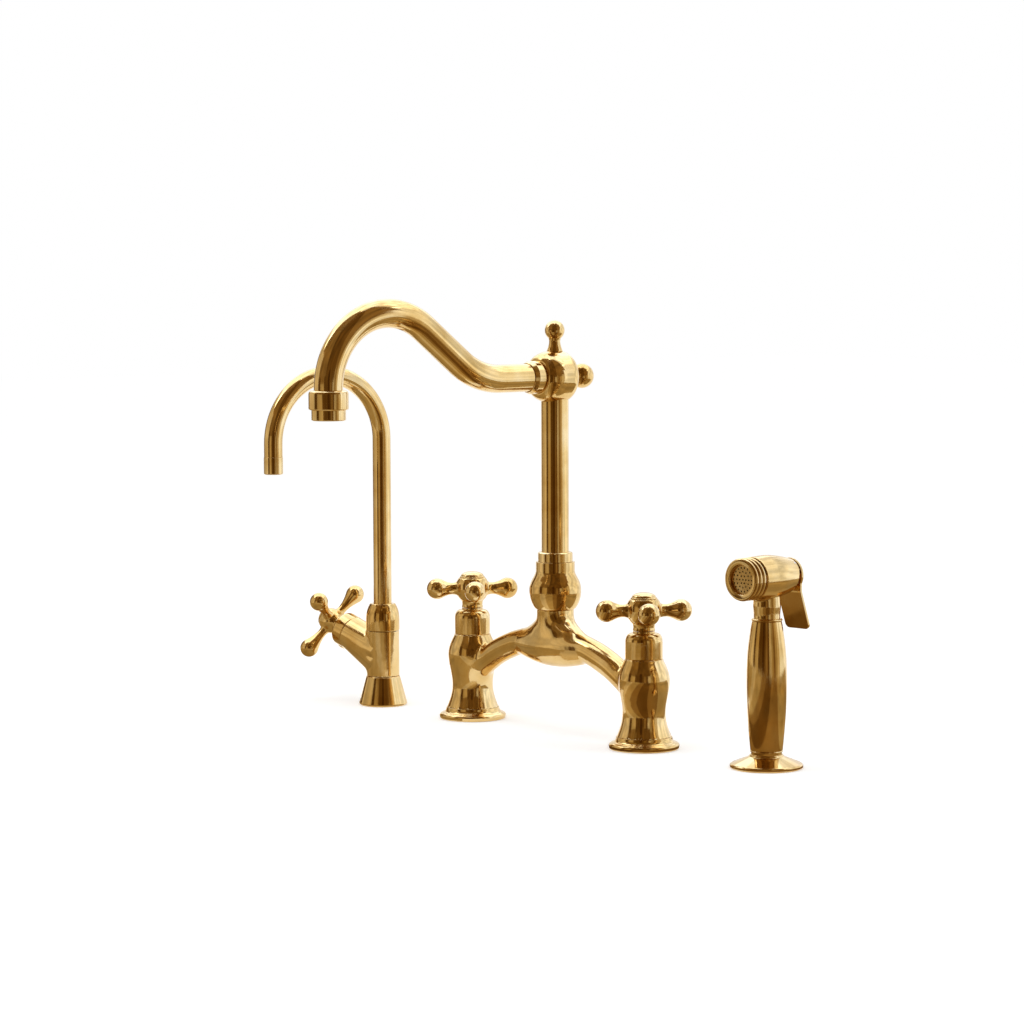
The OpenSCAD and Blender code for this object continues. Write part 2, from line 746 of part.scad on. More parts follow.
module mixer_bonnet() bonnet(bonnet_d, bonnet_h, bonnet_shoulder_h, boss_d, bonnet_bore_d, cartridge_neck_d);
module hot_bonnet() at_hot_valve() mixer_bonnet();
module cold_bonnet() at_cold_valve() mixer_bonnet();
module filter_bonnet() at_filter_valve() bonnet(
  branch_d, filter_bonnet_h, filter_shoulder_h, filter_boss_cap_d, filter_bonnet_bore_d, filter_neck_d);

// The cartridge screws into the valve's chamber and stands on its seal
module cartridge(d, low_d, flange_d, neck, top, depth, thread, bore, stem, stem_depth)
color(bright_brass) difference() {
  bottom = seat_seal_t - depth;
  window = bore * 0.62;
  union() {
    translate([0, 0, bottom]) cylinder(d = low_d, h = -bottom);
    translate([0, 0, -thread]) cylinder(d = d, h = thread);
    cylinder(d = flange_d, h = cartridge_flange_h);
    cylinder(d = neck, h = top);
  }
  translate([0, 0, -stem_depth - face_gap]) cylinder(d = stem + 2 * run_gap, h = stem_depth + top + over);
  translate([0, 0, bottom - over]) cylinder(d = bore, h = 2 * window);
  translate([-d, 0, bottom + 1.2 * window]) rotate([0, 90, 0]) cylinder(d = window, h = 2 * d);
}

module mixer_cartridge() cartridge(cartridge_d, cartridge_low_d, cartridge_flange_d, cartridge_neck_d,
  boss_top, seat_depth, cartridge_thread_l, seat_bore_d, spindle_d, spindle_depth);
module hot_cartridge() at_hot_valve() mixer_cartridge();
module cold_cartridge() at_cold_valve() mixer_cartridge();
module filter_cartridge() at_filter_valve() cartridge(filter_cartridge_d, filter_cartridge_low_d,
  filter_flange_d, filter_neck_d, filter_boss_top_h, filter_seat_depth, filter_cartridge_thread_l,
  filter_seat_bore_d, filter_spindle_d, filter_spindle_depth);

module seat_seals() color(rubber) {
  at_hot_valve() tube(cartridge_low_d, seat_bore_d, -seat_depth, seat_seal_t - seat_depth);
  at_cold_valve() tube(cartridge_low_d, seat_bore_d, -seat_depth, seat_seal_t - seat_depth);
  at_filter_valve() tube(filter_cartridge_low_d, filter_seat_bore_d, -filter_seat_depth,
    seat_seal_t - filter_seat_depth);
}

// A handle stands on its spindle and is held by a screw under its cap
hub_z = bonnet_h + hub_lift;
hub_top = hub_z + hub_half_h;
hub_floor = hub_top - cap_spigot_h - screw_head_h - 0.6;
spindle_top = hub_floor - 4;
filter_hub_z = filter_bonnet_h + filter_hub_lift;
filter_hub_top = filter_hub_z + filter_hub_half_h;
filter_hub_floor = filter_hub_top - filter_cap_spigot_h - filter_screw_head_h - 0.6;
filter_spindle_top = filter_hub_floor - 3.4;
hub_steps = 6;

// A drop shaped ball on a thin arm that widens where it meets the hub
module cross_arm(reach, ball, waist, foot) rotate([0, 90, 0]) {
  neck = ball * 0.85;
  translate([0, 0, foot]) cylinder(d1 = waist + 4, d2 = waist, h = 5);
  translate([0, 0, foot + 5]) cylinder(d1 = waist, d2 = neck, h = reach - foot - 5 - ball * 0.25);
  translate([0, 0, reach]) sphere(d = ball);
}

module cross_handle(turn, hub, z, half_h, cap, skirt, low, reach, ball, waist,
  floor_z, top_z, stem, screw, spigot) color(brass) difference() {
  union() {
    turned(concat(
      [[skirt / 2, low], [skirt / 2 - 0.4, low + 1.6]],
      [for (i = [0:hub_steps]) let (a = mix(-50, 0, i / hub_steps))
        [hub / 2 * cos(a), z + hub / 2 * sin(a)]],
      [for (i = [1:hub_steps]) let (t = i / hub_steps)
        [mix(cap / 2, hub / 2, cos(90 * t)), z + half_h * swell(t)]]
    ));
    for (i = [0:3]) rotate([0, 0, turn + 90 * i]) translate([0, 0, z])
      cross_arm(reach, ball, waist, hub / 2 - 3.5);
  }
  translate([0, 0, low - over]) cylinder(d = stem + 2 * seat_gap, h = top_z - low + over);
  translate([0, 0, low]) cylinder(d = screw + 2 * seat_gap, h = z);
  translate([0, 0, floor_z]) cylinder(d = spigot + 2 * seat_gap, h = half_h + over);
}

module handle_cap(d, h, spigot, spigot_h, top) color(bright_brass) {
  steps = 6;
  translate([0, 0, top - spigot_h]) cylinder(d = spigot, h = spigot_h + 0.5);
  turned(concat(
    [[d / 2, top], [d / 2, top + 1]],
    [for (i = [1:steps]) let (a = 90 * i / steps) [d / 2 * cos(a), top + 1 + (h - 1) * sin(a)]]
  ));
}

module handle_screw(d, head, head_h, l, floor_z) color(steel) {
  translate([0, 0, floor_z]) cylinder(d = head, h = head_h);
  translate([0, 0, floor_z - l]) cylinder(d = d, h = l + 0.5);
}

module spindle(d, bottom, top, screw, screw_bottom) color(bright_brass) difference() {
  translate([0, 0, bottom]) cylinder(d = d, h = top - bottom);
  translate([0, 0, screw_bottom - 0.5]) cylinder(d = screw + 2 * seat_gap, h = top);
}

module mixer_handle() cross_handle(cross_turn, hub_d, hub_z, hub_half_h, cap_d, skirt_d, boss_top + skirt_gap,
  arm_reach, arm_ball_d, arm_waist_d, hub_floor, spindle_top, spindle_d, screw_d, cap_spigot_d);
module mixer_cap() handle_cap(cap_d, cap_h, cap_spigot_d, cap_spigot_h, hub_top);
module mixer_screw() handle_screw(screw_d, screw_head_d, screw_head_h, screw_l, hub_floor);
module mixer_spindle() spindle(spindle_d, -spindle_depth, spindle_top, screw_d, hub_floor - screw_l);

module hot_handle() at_hot_valve() mixer_handle();
module hot_cap() at_hot_valve() mixer_cap();
module hot_screw() at_hot_valve() mixer_screw();
module hot_spindle() at_hot_valve() mixer_spindle();
module cold_handle() at_cold_valve() mixer_handle();
module cold_cap() at_cold_valve() mixer_cap();
module cold_screw() at_cold_valve() mixer_screw();
module cold_spindle() at_cold_valve() mixer_spindle();

module filter_handle() at_filter_valve() cross_handle(filter_cross_turn, filter_hub_d, filter_hub_z,
  filter_hub_half_h, filter_cap_d, filter_skirt_d, filter_boss_top_h + skirt_gap, filter_arm_reach,
  filter_ball_d, filter_arm_waist_d, filter_hub_floor, filter_spindle_top, filter_spindle_d,
  filter_screw_d, filter_cap_spigot_d);
module filter_cap() at_filter_valve()
  handle_cap(filter_cap_d, filter_cap_h, filter_cap_spigot_d, filter_cap_spigot_h, filter_hub_top);
module filter_screw() at_filter_valve()
  handle_screw(filter_screw_d, filter_screw_head_d, filter_screw_head_h, filter_screw_l, filter_hub_floor);
module filter_spindle() at_filter_valve() spindle(filter_spindle_d, -filter_spindle_depth,
  filter_spindle_top, filter_screw_d, filter_hub_floor - filter_screw_l);

// The column turns in the vase on its foot, which carries two O-rings
column_top_z = spout_z - 16;
head_spigot_in = 8;
head_way_d = 14;
column_foot_d = socket_d - 2 * run_gap;
ring_z = [for (i = [0:1]) column_foot_z + column_foot_h * (1 + 2 * i) / 4];
ring_gap = 0.03;
ring_middle_d = socket_d - 2 * ring_gap - oring_d;

module column() color(brass) difference() {
  union() {
    translate([0, 0, column_foot_z]) cylinder(d = tube_d, h = column_top_z - column_foot_z);
    translate([0, 0, column_foot_z]) cylinder(d = column_foot_d, h = column_foot_h);
  }
  translate([0, 0, column_foot_z - over])
    cylinder(d = tube_bore_d, h = column_top_z - column_foot_z + 2 * over);
  for (z = ring_z)
    tube(column_foot_d + 2, ring_middle_d - oring_d - 2 * ring_gap, z - groove_w / 2, z + groove_w / 2);
}

module column_rings() color(rubber) for (z = ring_z)
  translate([0, 0, z]) rotate_extrude() translate([ring_middle_d / 2, 0]) circle(d = oring_d);

// Turns a shape drawn in X and Y into the spout's upright plane, X forward and Y up
module spout_plane() rotate([90, 0, -90]) children();
module along_spout(start) spout_plane() translate([start, spout_z, 0]) rotate([0, 90, 0]) children();

// The drum's outline along the spout, from its rear face to its front face
drum_steps = 6;
drum_profile = concat(
  [for (i = [0:drum_steps]) let (t = i / drum_steps)
    [mix(knob_foot_d / 2 + 6.8, drum_d / 2, swell(t)), mix(-drum_rear, -drum_half_w, 1 - cos(90 * t))]],
  [for (i = [0:drum_steps]) let (t = i / drum_steps)
    [mix(collar_d / 2, drum_d / 2, cos(90 * t)), mix(drum_half_w, drum_front, swell(t))]]
);

module spout_head() color(brass) difference() {
  union() {
    difference() {
      along_spout(0) turned(drum_profile);
      translate([0, 0, spout_z - drum_d])
        cylinder(d = tube_d + 2 * seat_gap, h = drum_d - spout_z + column_top_z);
    }
    translate([0, 0, column_top_z - head_spigot_in])
      cylinder(d = tube_bore_d - 2 * seat_gap, h = head_spigot_in + over);
  }
  translate([0, 0, column_top_z - head_spigot_in - over])
    cylinder(d = head_way_d, h = head_spigot_in + spout_z - column_top_z - 2.5);
  along_spout(-2) cylinder(d = head_way_d + 2, h = drum_front + 2);
  along_spout(drum_front - 2.2) cylinder(d = tube_d + 2 * seat_gap, h = drum_front);
  translate([0, 0, spout_z + drum_d / 2 - spigot_l - 0.5]) cylinder(d = spigot_d + 2 * seat_gap, h = drum_d);
  along_spout(-drum_front) cylinder(d = spigot_d + 2 * seat_gap, h = drum_front - drum_rear + spigot_l + 0.5);
}

finial_z = spout_z + drum_d / 2;
finial_steps = 6;
finial_join = asin(finial_neck_d / finial_ball_d);

module top_finial() color(brass) {
  translate([0, 0, finial_z - spigot_l]) cylinder(d = spigot_d, h = spigot_l + over);
  turned(concat(
    [[finial_foot_d / 2, finial_z]],
    [for (i = [1:finial_steps]) let (t = i / finial_steps)
      [mix(finial_foot_d, finial_neck_d, swell(t)) / 2, finial_z + 4.6 * t]],
    [[finial_neck_d / 2, finial_z + finial_h - finial_ball_d / 2 * cos(finial_join)]]
  ));
  translate([0, 0, finial_z + finial_h]) sphere(d = finial_ball_d);
}

module rear_knob() color(brass) {
  along_spout(0) turned(concat(
    [[knob_neck_d / 2, -knob_reach + knob_d / 2 * cos(asin(knob_neck_d / knob_d))]],
    [for (i = [finial_steps:-1:0]) let (t = i / finial_steps)
      [mix(knob_foot_d, knob_neck_d, swell(t)) / 2, -drum_rear - 3.4 * t]]
  ));
  along_spout(-knob_reach) sphere(d = knob_d);
  along_spout(-drum_rear - over) cylinder(d = spigot_d, h = spigot_l + over);
}

collar_end = drum_front + collar_l;

module spout_collar() color(bright_brass) difference() {
  along_spout(0) turned([
    [collar_d / 2, drum_front], [collar_d / 2, collar_end - collar_chamfer_l],
    [collar_d / 2 - collar_chamfer, collar_end]
  ], tube_d / 2 + seat_gap);
}

// The swan neck: level, a rising bend, a straight rise, and a bend over the top and down
rise_end_t = rise_start + rise_r * sin(rise_angle);
rise_end_z = spout_z + rise_r * (1 - cos(rise_angle));
top_start_t = rise_end_t + rise_l * cos(rise_angle);
top_start_z = rise_end_z + rise_l * sin(rise_angle);
top_t = top_start_t + top_r * sin(rise_angle);
top_z = top_start_z - top_r * cos(rise_angle);
outlet_t = top_t + top_r;
outlet_top_z = top_z - outlet_drop;
outlet_z = outlet_top_z - outlet_h;
tube_end_z = outlet_z + aerator_thread_l;
tube_start = drum_front - 2;
// The tube is drawn a hair thinner where it is bent
bend_thin = 0.2;
bend_in = 1;

module swan_neck(d, extra) spout_plane() {
  bend_d = d - bend_thin;
  translate([tube_start - extra, spout_z, 0]) rotate([0, 90, 0])
    cylinder(d = d, h = rise_start - tube_start + extra + bend_in);
  translate([rise_start, spout_z + rise_r, 0]) rotate([0, 0, -90])
    rotate_extrude(angle = rise_angle) translate([rise_r, 0]) circle(d = bend_d);
  translate([rise_end_t, rise_end_z, 0]) rotate([0, 0, rise_angle]) translate([-bend_in, 0, 0])
    rotate([0, 90, 0]) cylinder(d = d, h = rise_l + 2 * bend_in);
  translate([top_t, top_z, 0])
    rotate_extrude(angle = 90 + rise_angle) translate([top_r, 0]) circle(d = bend_d);
  translate([outlet_t, tube_end_z - extra, 0]) rotate([-90, 0, 0])
    cylinder(d = d, h = top_z - tube_end_z + extra + bend_in);
}

module spout_tube() color(brass) difference() {
  swan_neck(tube_d, 0);
  swan_neck(tube_bore_d, over);
}

module at_outlet() translate([0, -outlet_t, 0]) children();

module outlet_ring() color(brass) at_outlet() difference() {
  turned([
    [outlet_d / 2 - 0.8, outlet_z], [outlet_d / 2, outlet_z + 0.8], [outlet_d / 2, outlet_top_z - 2.6],
    [outlet_d / 2 - 0.8, outlet_top_z - 1], [tube_d / 2 + 1, outlet_top_z]
  ]);
  translate([0, 0, tube_end_z]) cylinder(d = tube_d + 2 * seat_gap, h = outlet_h);
  translate([0, 0, outlet_z - over])
    cylinder(d = aerator_thread_d + 2 * seat_gap, h = tube_end_z - outlet_z + over);
}

aerator_z = outlet_z - aerator_h;
aerator_lip = 0.8;

module aerator_housing() color(bright_brass) at_outlet() difference() {
  union() {
    turned([[aerator_d / 2 - 0.6, aerator_z], [aerator_d / 2, aerator_z + 0.6], [aerator_d / 2, outlet_z]]);
    translate([0, 0, aerator_z + over])
      cylinder(d = aerator_thread_d, h = aerator_h + aerator_thread_l - over);
  }
  translate([0, 0, aerator_z - over]) cylinder(d = insert_d - 2, h = aerator_h + 2 * over);
  translate([0, 0, aerator_z + aerator_lip])
    cylinder(d = insert_d + 2 * seat_gap, h = aerator_h + aerator_thread_l);
}

// The insert is a plastic cup with a ring of jets round a middle one
module aerator_insert() color(plastic) at_outlet() difference() {
  translate([0, 0, aerator_z + aerator_lip])
    cylinder(d = insert_d, h = aerator_h + aerator_thread_l - aerator_lip);
  translate([0, 0, aerator_z + aerator_lip + 3]) cylinder(d = insert_d - 3, h = outlet_h);
  for (i = [0:7]) rotate([0, 0, 45 * i]) translate([5, 0, aerator_z]) cylinder(d = 2, h = 6, $fn = 24);
  translate([0, 0, aerator_z]) cylinder(d = 2, h = 6, $fn = 24);
}

// Drinking water tap: a conical foot, a straight body and a branch for the valve
filter_foot_edge = 1.6;
filter_socket_d = riser_foot_d + 2 * run_gap;
filter_nut_z = filter_body_h + filter_nut_h;
filter_nut_low_d = filter_body_d + 0.4;
riser_foot_top = filter_body_h + filter_boss_h - face_gap;
riser_foot_z = riser_foot_top - riser_foot_h;
filter_boss_top = filter_body_h + filter_boss_h;
inlet_d = 8;
outlet_way_d = 3.4;
// The way out leaves the valve's chamber beside its seat and turns up into the spout's socket
way_in = filter_seat_bore_d / 2 + 3.8;
way_l = branch_l - filter_seat_depth - 7;
way_x = way_in * sin(branch_tilt) - way_l * cos(branch_tilt);
way_z = branch_z + way_l * sin(branch_tilt) + way_in * cos(branch_tilt);

module filter_body() color(brass) difference() {
  union() {
    at_filter() turned([
      [filter_foot_d / 2 - 1, 0], [filter_foot_d / 2, filter_foot_edge],
      [filter_body_d / 2, filter_foot_h], [filter_body_d / 2, filter_body_h]
    ]);
    at_filter() cylinder(d = filter_boss_d, h = filter_boss_top);
    difference() {
      at_filter_branch() cylinder(d = branch_d, h = branch_l);
      at_filter() translate([0, 0, filter_body_h])
        cylinder(d = filter_nut_low_d + 2 * nut_face_gap, h = filter_nut_h);
    }
  }
  at_filter() translate([0, 0, -over])
    cylinder(d = filter_tail_d + 2 * seat_gap, h = filter_tail_in + over);
  at_filter() cylinder(d = inlet_d, h = branch_z);
  at_filter_branch() translate([way_in, 0, way_l]) cylinder(d = outlet_way_d, h = 8);
  at_filter() rotate([0, 0, branch_turn]) translate([way_x - 0.6, 0, way_z - 0.8])
    cylinder(d = outlet_way_d, h = riser_foot_z - way_z + 0.8);
  at_filter() translate([0, 0, riser_foot_z - face_gap])
    cylinder(d = filter_socket_d, h = filter_boss_top);
  at_filter_valve() translate([0, 0, -filter_seat_depth])
    cylinder(d = filter_cartridge_d + 2 * seat_gap, h = filter_seat_depth + over);
  at_filter_valve() translate([0, 0, -branch_l - 2]) cylinder(d = filter_seat_bore_d, h = branch_l);
}

module filter_tail() color(bright_brass) at_filter() difference() {
  tube(filter_tail_d, filter_tail_bore_d, -filter_tail_l, filter_tail_in);
  thread_groove(filter_tail_d, filter_tail_l);
}

module filter_washer() color(rubber) at_filter()
  tube(washer_d, filter_tail_d + 2 * seat_gap, under_z - rubber_t, under_z);

nut_top_z = under_z - rubber_t;

module filter_backnut() color(bright_brass) at_filter()
  hex_nut(filter_backnut_af, filter_tail_d + 2 * seat_gap, nut_top_z - backnut_h, nut_top_z);

filter_nut_steps = 6;

module filter_nut() color(brass) at_filter() difference() {
  turned(concat(
    [[filter_nut_low_d / 2, filter_body_h]],
    [for (i = [0:filter_nut_steps]) let (t = i / filter_nut_steps)
      [mix(filter_nut_top_d, filter_nut_low_d, cos(90 * t * t)) / 2,
        mix(filter_body_h + 4, filter_nut_z, t)]]
  ));
  translate([0, 0, filter_body_h - over])
    cylinder(d = filter_boss_d + 2 * seat_gap, h = filter_boss_h + over);
  translate([0, 0, filter_body_h]) cylinder(d = riser_d + 2 * run_gap, h = filter_nut_h + over);
}

riser_bore_d = riser_d - 2 * riser_wall;

module gooseneck(d, extra) {
  translate([0, 0, riser_foot_z - extra]) cylinder(d = d, h = goose_z - riser_foot_z + extra);
  translate([0, -goose_r, goose_z]) rotate([90, 0, -90])
    rotate_extrude(angle = 180) translate([goose_r, 0]) circle(d = d);
  translate([0, -2 * goose_r, goose_z - goose_end_l - extra]) cylinder(d = d, h = goose_end_l + extra);
}

module filter_spout() color(brass) at_filter() difference() {
  union() {
    gooseneck(riser_d, 0);
    translate([0, 0, riser_foot_z]) cylinder(d = riser_foot_d, h = riser_foot_h);
  }
  gooseneck(riser_bore_d, over);
}

nozzle_top_z = goose_z - goose_end_l;

module filter_nozzle() color(bright_brass) at_filter() translate([0, -2 * goose_r, 0]) difference() {
  union() {
    turned([
      [nozzle_d / 2 - 0.6, nozzle_top_z - nozzle_l], [nozzle_d / 2, nozzle_top_z - nozzle_l + 0.6],
      [nozzle_d / 2, nozzle_top_z]
    ]);
    translate([0, 0, nozzle_top_z - over])
      cylinder(d = riser_bore_d - 2 * seat_gap, h = nozzle_spigot_l + over);
  }
  translate([0, 0, nozzle_top_z - nozzle_l - over])
    cylinder(d = nozzle_bore_d, h = nozzle_l + nozzle_spigot_l + 2 * over);
}

// Spray holder: a low cone round a socket, on a threaded shank
socket_wall = 1.4;
holder_socket_d = ferrule_d + 0.4;

module spray_holder() color(brass) at_spray() difference() {
  union() {
    turned([
      [holder_d / 2 - 0.8, 0], [holder_d / 2, 0.8], [holder_d / 2, holder_edge - 0.8],
      [holder_d / 2 - 0.8, holder_edge], [holder_socket_d / 2 + socket_wall, holder_h - 1.4],
      [holder_socket_d / 2 + socket_wall - 0.6, holder_h]
    ]);
    translate([0, 0, -shank_l]) cylinder(d = shank_d, h = shank_l + over);
  }
  thread_groove(shank_d, shank_l);
  translate([0, 0, -shank_l - over]) cylinder(d = guide_d + 2 * seat_gap, h = shank_l + holder_h);
  translate([0, 0, holder_floor]) cylinder(d = holder_socket_d, h = holder_h);
}

guide_top = holder_floor + guide_flange_t;

module spray_guide() color(plastic) at_spray() difference() {
  union() {
    translate([0, 0, holder_floor - guide_l]) cylinder(d = guide_d, h = guide_l);
    translate([0, 0, holder_floor]) cylinder(d = holder_socket_d - 2 * seat_gap, h = guide_flange_t);
  }
  translate([0, 0, holder_floor - guide_l - over])
    cylinder(d = guide_bore_d, h = guide_l + guide_flange_t + 2 * over);
}

module spray_washer() color(rubber) at_spray()
  tube(shank_nut_af + 6, shank_d + 2 * seat_gap, under_z - rubber_t, under_z);

module spray_backnut() color(bright_brass) at_spray()
  hex_nut(shank_nut_af, shank_d + 2 * seat_gap, nut_top_z - backnut_h, nut_top_z);

// Hand spray: ferrule with the hose thread, bulged grip, and the head on its neck
grip_z = bead_z + bead_h;
grip_top_z = grip_z + grip_l;
neck_low_z = grip_top_z + bead_h;
head_z = neck_low_z + head_lift;
hose_bore_d = 8;
ferrule_spigot_l = 8;
grip_steps = 10;

module bead(d, z) {
  translate([0, 0, z + bead_h / 2]) rotate_extrude() translate([d / 2 - bead_h / 2, 0]) circle(d = bead_h);
}

module spray_ferrule() color(bright_brass) at_spray() difference() {
  union() {
    translate([0, 0, guide_top]) cylinder(d = ferrule_d, h = bead_z - guide_top);
    translate([0, 0, bead_z]) cylinder(d = bead_d - bead_h, h = bead_h);
    bead(bead_d, bead_z);
    translate([0, 0, grip_z - over]) cylinder(d = grip_bore_d - 2 * seat_gap, h = ferrule_spigot_l + over);
    translate([0, 0, guide_top - hose_thread_l]) cylinder(d = hose_thread_d, h = hose_thread_l + over);
  }
  translate([0, 0, guide_top - hose_thread_l - over]) cylinder(d = hose_bore_d, h = hose_thread_l + 40);
}

module spray_grip() color(brass) at_spray() turned(concat(
  [for (i = [0:grip_steps - 1]) let (t = i / grip_steps)
    [mix(grip_low_d, grip_d, swell(t)) / 2, grip_z + grip_wide_h * t]],
  [for (i = [0:grip_steps]) let (t = i / grip_steps)
    [mix(grip_top_d, grip_d, cos(90 * pow(t, 1.4))) / 2, grip_z + mix(grip_wide_h, grip_l, t)]]
), grip_bore_d / 2);

// The head is turned about its own axis, which points forward
module along_head(start) translate([0, 0, head_z]) spout_plane() translate([start, 0, 0])
  rotate([0, 90, 0]) children();
head_steps = 6;
head_profile = concat(
  [for (i = [0:head_steps]) let (t = i / head_steps)
    [mix(head_rear_d, head_d, swell(t)) / 2, mix(-head_rear, 4, t)]],
  [[head_front_d / 2, head_front]]
);
gland_l = 9;
seat_wall = 2;
lever_y = head_rear + lever_gap;
pin_y = lever_y - pin_gap;
pin_z = head_z + pin_rise;

module lever_pin_axis(d, l) translate([0, pin_y, pin_z]) rotate([0, 90, 0])
  cylinder(d = d, h = l, center = true);

// The head's rear end is cut back below the pin, and slotted for the lever's ear
module spray_head() color(brass) at_spray() difference() {
  union() {
    along_head(0) turned(head_profile);
    along_head(head_front - over) cylinder(d = head_spigot_d, h = head_spigot_l + over);
    translate([0, 0, grip_top_z]) cylinder(d = spray_neck_d, h = head_z - grip_top_z);
    bead(spray_neck_d + 1.6, grip_top_z);
    translate([0, 0, grip_top_z - ferrule_spigot_l])
      cylinder(d = grip_bore_d - 2 * seat_gap, h = ferrule_spigot_l + over);
  }
  translate([0, head_rear - 0.2, pin_z]) rotate([-lever_swing - 0.6, 0, 0])
    translate([-head_d, 0, -2 * head_d]) cube([2 * head_d, head_d, 2 * head_d]);
  translate([-ear_w / 2 - 0.2, pin_y - ear_r - 0.4, pin_z - ear_r - 1])
    cube([ear_w + 0.4, head_d, head_d]);
  lever_pin_axis(pin_d, head_d);
  along_head(valve_seat + seat_wall) cylinder(d = head_bore_d, h = head_front + head_spigot_l);
  along_head(gland_l - head_rear) cylinder(d = head_bore_d - 6, h = head_rear - gland_l + valve_seat);
  along_head(0) cylinder(d = valve_bore_d, h = head_front);
  along_head(-head_rear - over) cylinder(d = stem_d + 2 * run_gap, h = head_rear);
  translate([0, 0, grip_top_z - ferrule_spigot_l - over])
    cylinder(d = spray_neck_d - 7, h = head_z - grip_top_z + ferrule_spigot_l - 5);
}

// Three rounded ribs round the face, in front of the head's shoulder
rib_pitch = ring_l / 3;
rose_z = head_front + head_spigot_l;
ring_gap_l = 0.3;

module face_ring() color(bright_brass) at_spray() along_head(0) difference() {
  union() {
    for (i = [0:2]) translate([0, 0, head_front + ring_gap_l + rib_pitch * (i + 0.5)]) rotate_extrude()
      translate([ring_d / 2 - rib_pitch / 2, 0]) circle(d = rib_pitch - 0.2);
    translate([0, 0, head_front + ring_gap_l]) cylinder(d = ring_d - rib_pitch + 1, h = ring_l - 0.6);
  }
  translate([0, 0, head_front]) cylinder(d = head_spigot_d + 2 * seat_gap, h = head_spigot_l + rose_t);
  translate([0, 0, rose_z]) cylinder(d = face_d, h = ring_l);
}

// The rose is clamped between the head and the face ring
rose_pitch = face_d / 2 / (rose_rings + 0.7);

module rose_plate() color(bright_brass) at_spray() along_head(rose_z) difference() {
  cylinder(d = head_spigot_d, h = rose_t);
  translate([0, 0, -over]) cylinder(d = rose_hole_d, h = rose_t + 2 * over, $fn = 16);
  for (ring = [1:rose_rings]) for (i = [1:6 * ring]) rotate([0, 0, 60 * i / ring])
    translate([rose_pitch * ring, 0, -over]) cylinder(d = rose_hole_d, h = rose_t + 2 * over, $fn = 16);
}

// The lever's side view, with its upper part upright and its tongue slanting out
tongue_out = tongue_h * tan(lever_angle);
tongue_t = lever_t / cos(lever_angle);

module lever_side() rotate([90, 0, 90]) linear_extrude(2 * lever_top_d, center = true) polygon([
  [lever_y, head_z + lever_top_d], [lever_y + lever_t, head_z + lever_top_d],
  [lever_y + lever_t, head_z - bend_drop],
  [lever_y + tongue_out + tongue_t, head_z - bend_drop - tongue_h - 1],
  [lever_y + tongue_out, head_z - bend_drop - tongue_h - 1], [lever_y, head_z - bend_drop]
]);

corner_steps = 4;
tongue_corners = [for (side = [1, -1]) for (i = [0:corner_steps])
  let (a = 90 * (side > 0 ? i : corner_steps - i) / corner_steps)
  [side * (lever_w / 2 - lever_corner * (1 - cos(a))), -bend_drop - tongue_h + lever_corner * (1 - sin(a))]];

module lever_front() translate([0, 4 * head_rear, head_z]) rotate([90, 0, 0]) linear_extrude(4 * head_rear) {
  circle(d = lever_top_d);
  polygon(concat([[-lever_w / 2, 0], [lever_w / 2, 0]], tongue_corners));
}

module spray_lever() color(brass) at_spray() difference() {
  union() {
    intersection() {
      lever_side();
      lever_front();
    }
    lever_pin_axis(2 * ear_r, ear_w);
    translate([-ear_w / 2, pin_y, pin_z - ear_r + 0.2]) cube([ear_w, pin_gap + 1, 2 * ear_r - 0.4]);
  }
  lever_pin_axis(pin_d + 2 * run_gap, head_d);
}

// The pin goes right through the head and the lever's ear
pin_l = 18;

module lever_pin() color(steel) at_spray() lever_pin_axis(pin_d, pin_l);

// The lever pushes the stem, and the stem lifts the valve disc off its seat
module valve_stem() color(steel) at_spray() {
  along_head(face_gap - lever_y) cylinder(d = stem_d, h = lever_y + valve_seat + seat_wall);
  along_head(valve_seat + seat_wall + face_gap) cylinder(d = disc_d, h = disc_t);
}

bridge_body();
vase();
column_nut();
column_bush();
hot_flange();
cold_flange();
foot_seals();
hot_tail();
cold_tail();
rubber_washers();
steel_washers();
backnuts();
hot_bonnet();
cold_bonnet();
hot_cartridge();
cold_cartridge();
seat_seals();
hot_handle();
hot_cap();
hot_screw();
hot_spindle();
cold_handle();
cold_cap();
cold_screw();
cold_spindle();
column();
column_rings();
spout_head();
top_finial();
rear_knob();
spout_collar();
spout_tube();
outlet_ring();
aerator_housing();
aerator_insert();
filter_body();
filter_tail();
filter_washer();
filter_backnut();
filter_bonnet();
filter_cartridge();
filter_handle();
filter_cap();
filter_screw();
filter_spindle();
filter_nut();
filter_spout();
filter_nozzle();
spray_holder();
spray_guide();
spray_washer();
spray_backnut();
spray_ferrule();
spray_grip();
spray_head();
face_ring();
rose_plate();
spray_lever();
lever_pin();
valve_stem();
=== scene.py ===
import json
import math

import bpy
from mathutils import Matrix, Vector


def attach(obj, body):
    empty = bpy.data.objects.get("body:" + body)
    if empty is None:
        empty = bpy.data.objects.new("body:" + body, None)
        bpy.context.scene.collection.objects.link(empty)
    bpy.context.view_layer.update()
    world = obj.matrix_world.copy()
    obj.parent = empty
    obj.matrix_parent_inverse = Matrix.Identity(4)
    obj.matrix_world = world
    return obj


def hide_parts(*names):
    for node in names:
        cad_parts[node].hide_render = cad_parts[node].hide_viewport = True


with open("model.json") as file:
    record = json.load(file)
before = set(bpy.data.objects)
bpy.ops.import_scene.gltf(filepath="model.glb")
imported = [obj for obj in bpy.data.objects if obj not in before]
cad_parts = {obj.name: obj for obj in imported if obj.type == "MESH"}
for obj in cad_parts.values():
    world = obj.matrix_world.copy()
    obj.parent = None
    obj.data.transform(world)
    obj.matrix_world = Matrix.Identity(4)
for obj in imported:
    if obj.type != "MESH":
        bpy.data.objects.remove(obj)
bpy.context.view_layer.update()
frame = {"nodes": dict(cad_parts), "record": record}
scene = bpy.context.scene
scene.view_settings.view_transform = "Standard"
print("frame loaded")

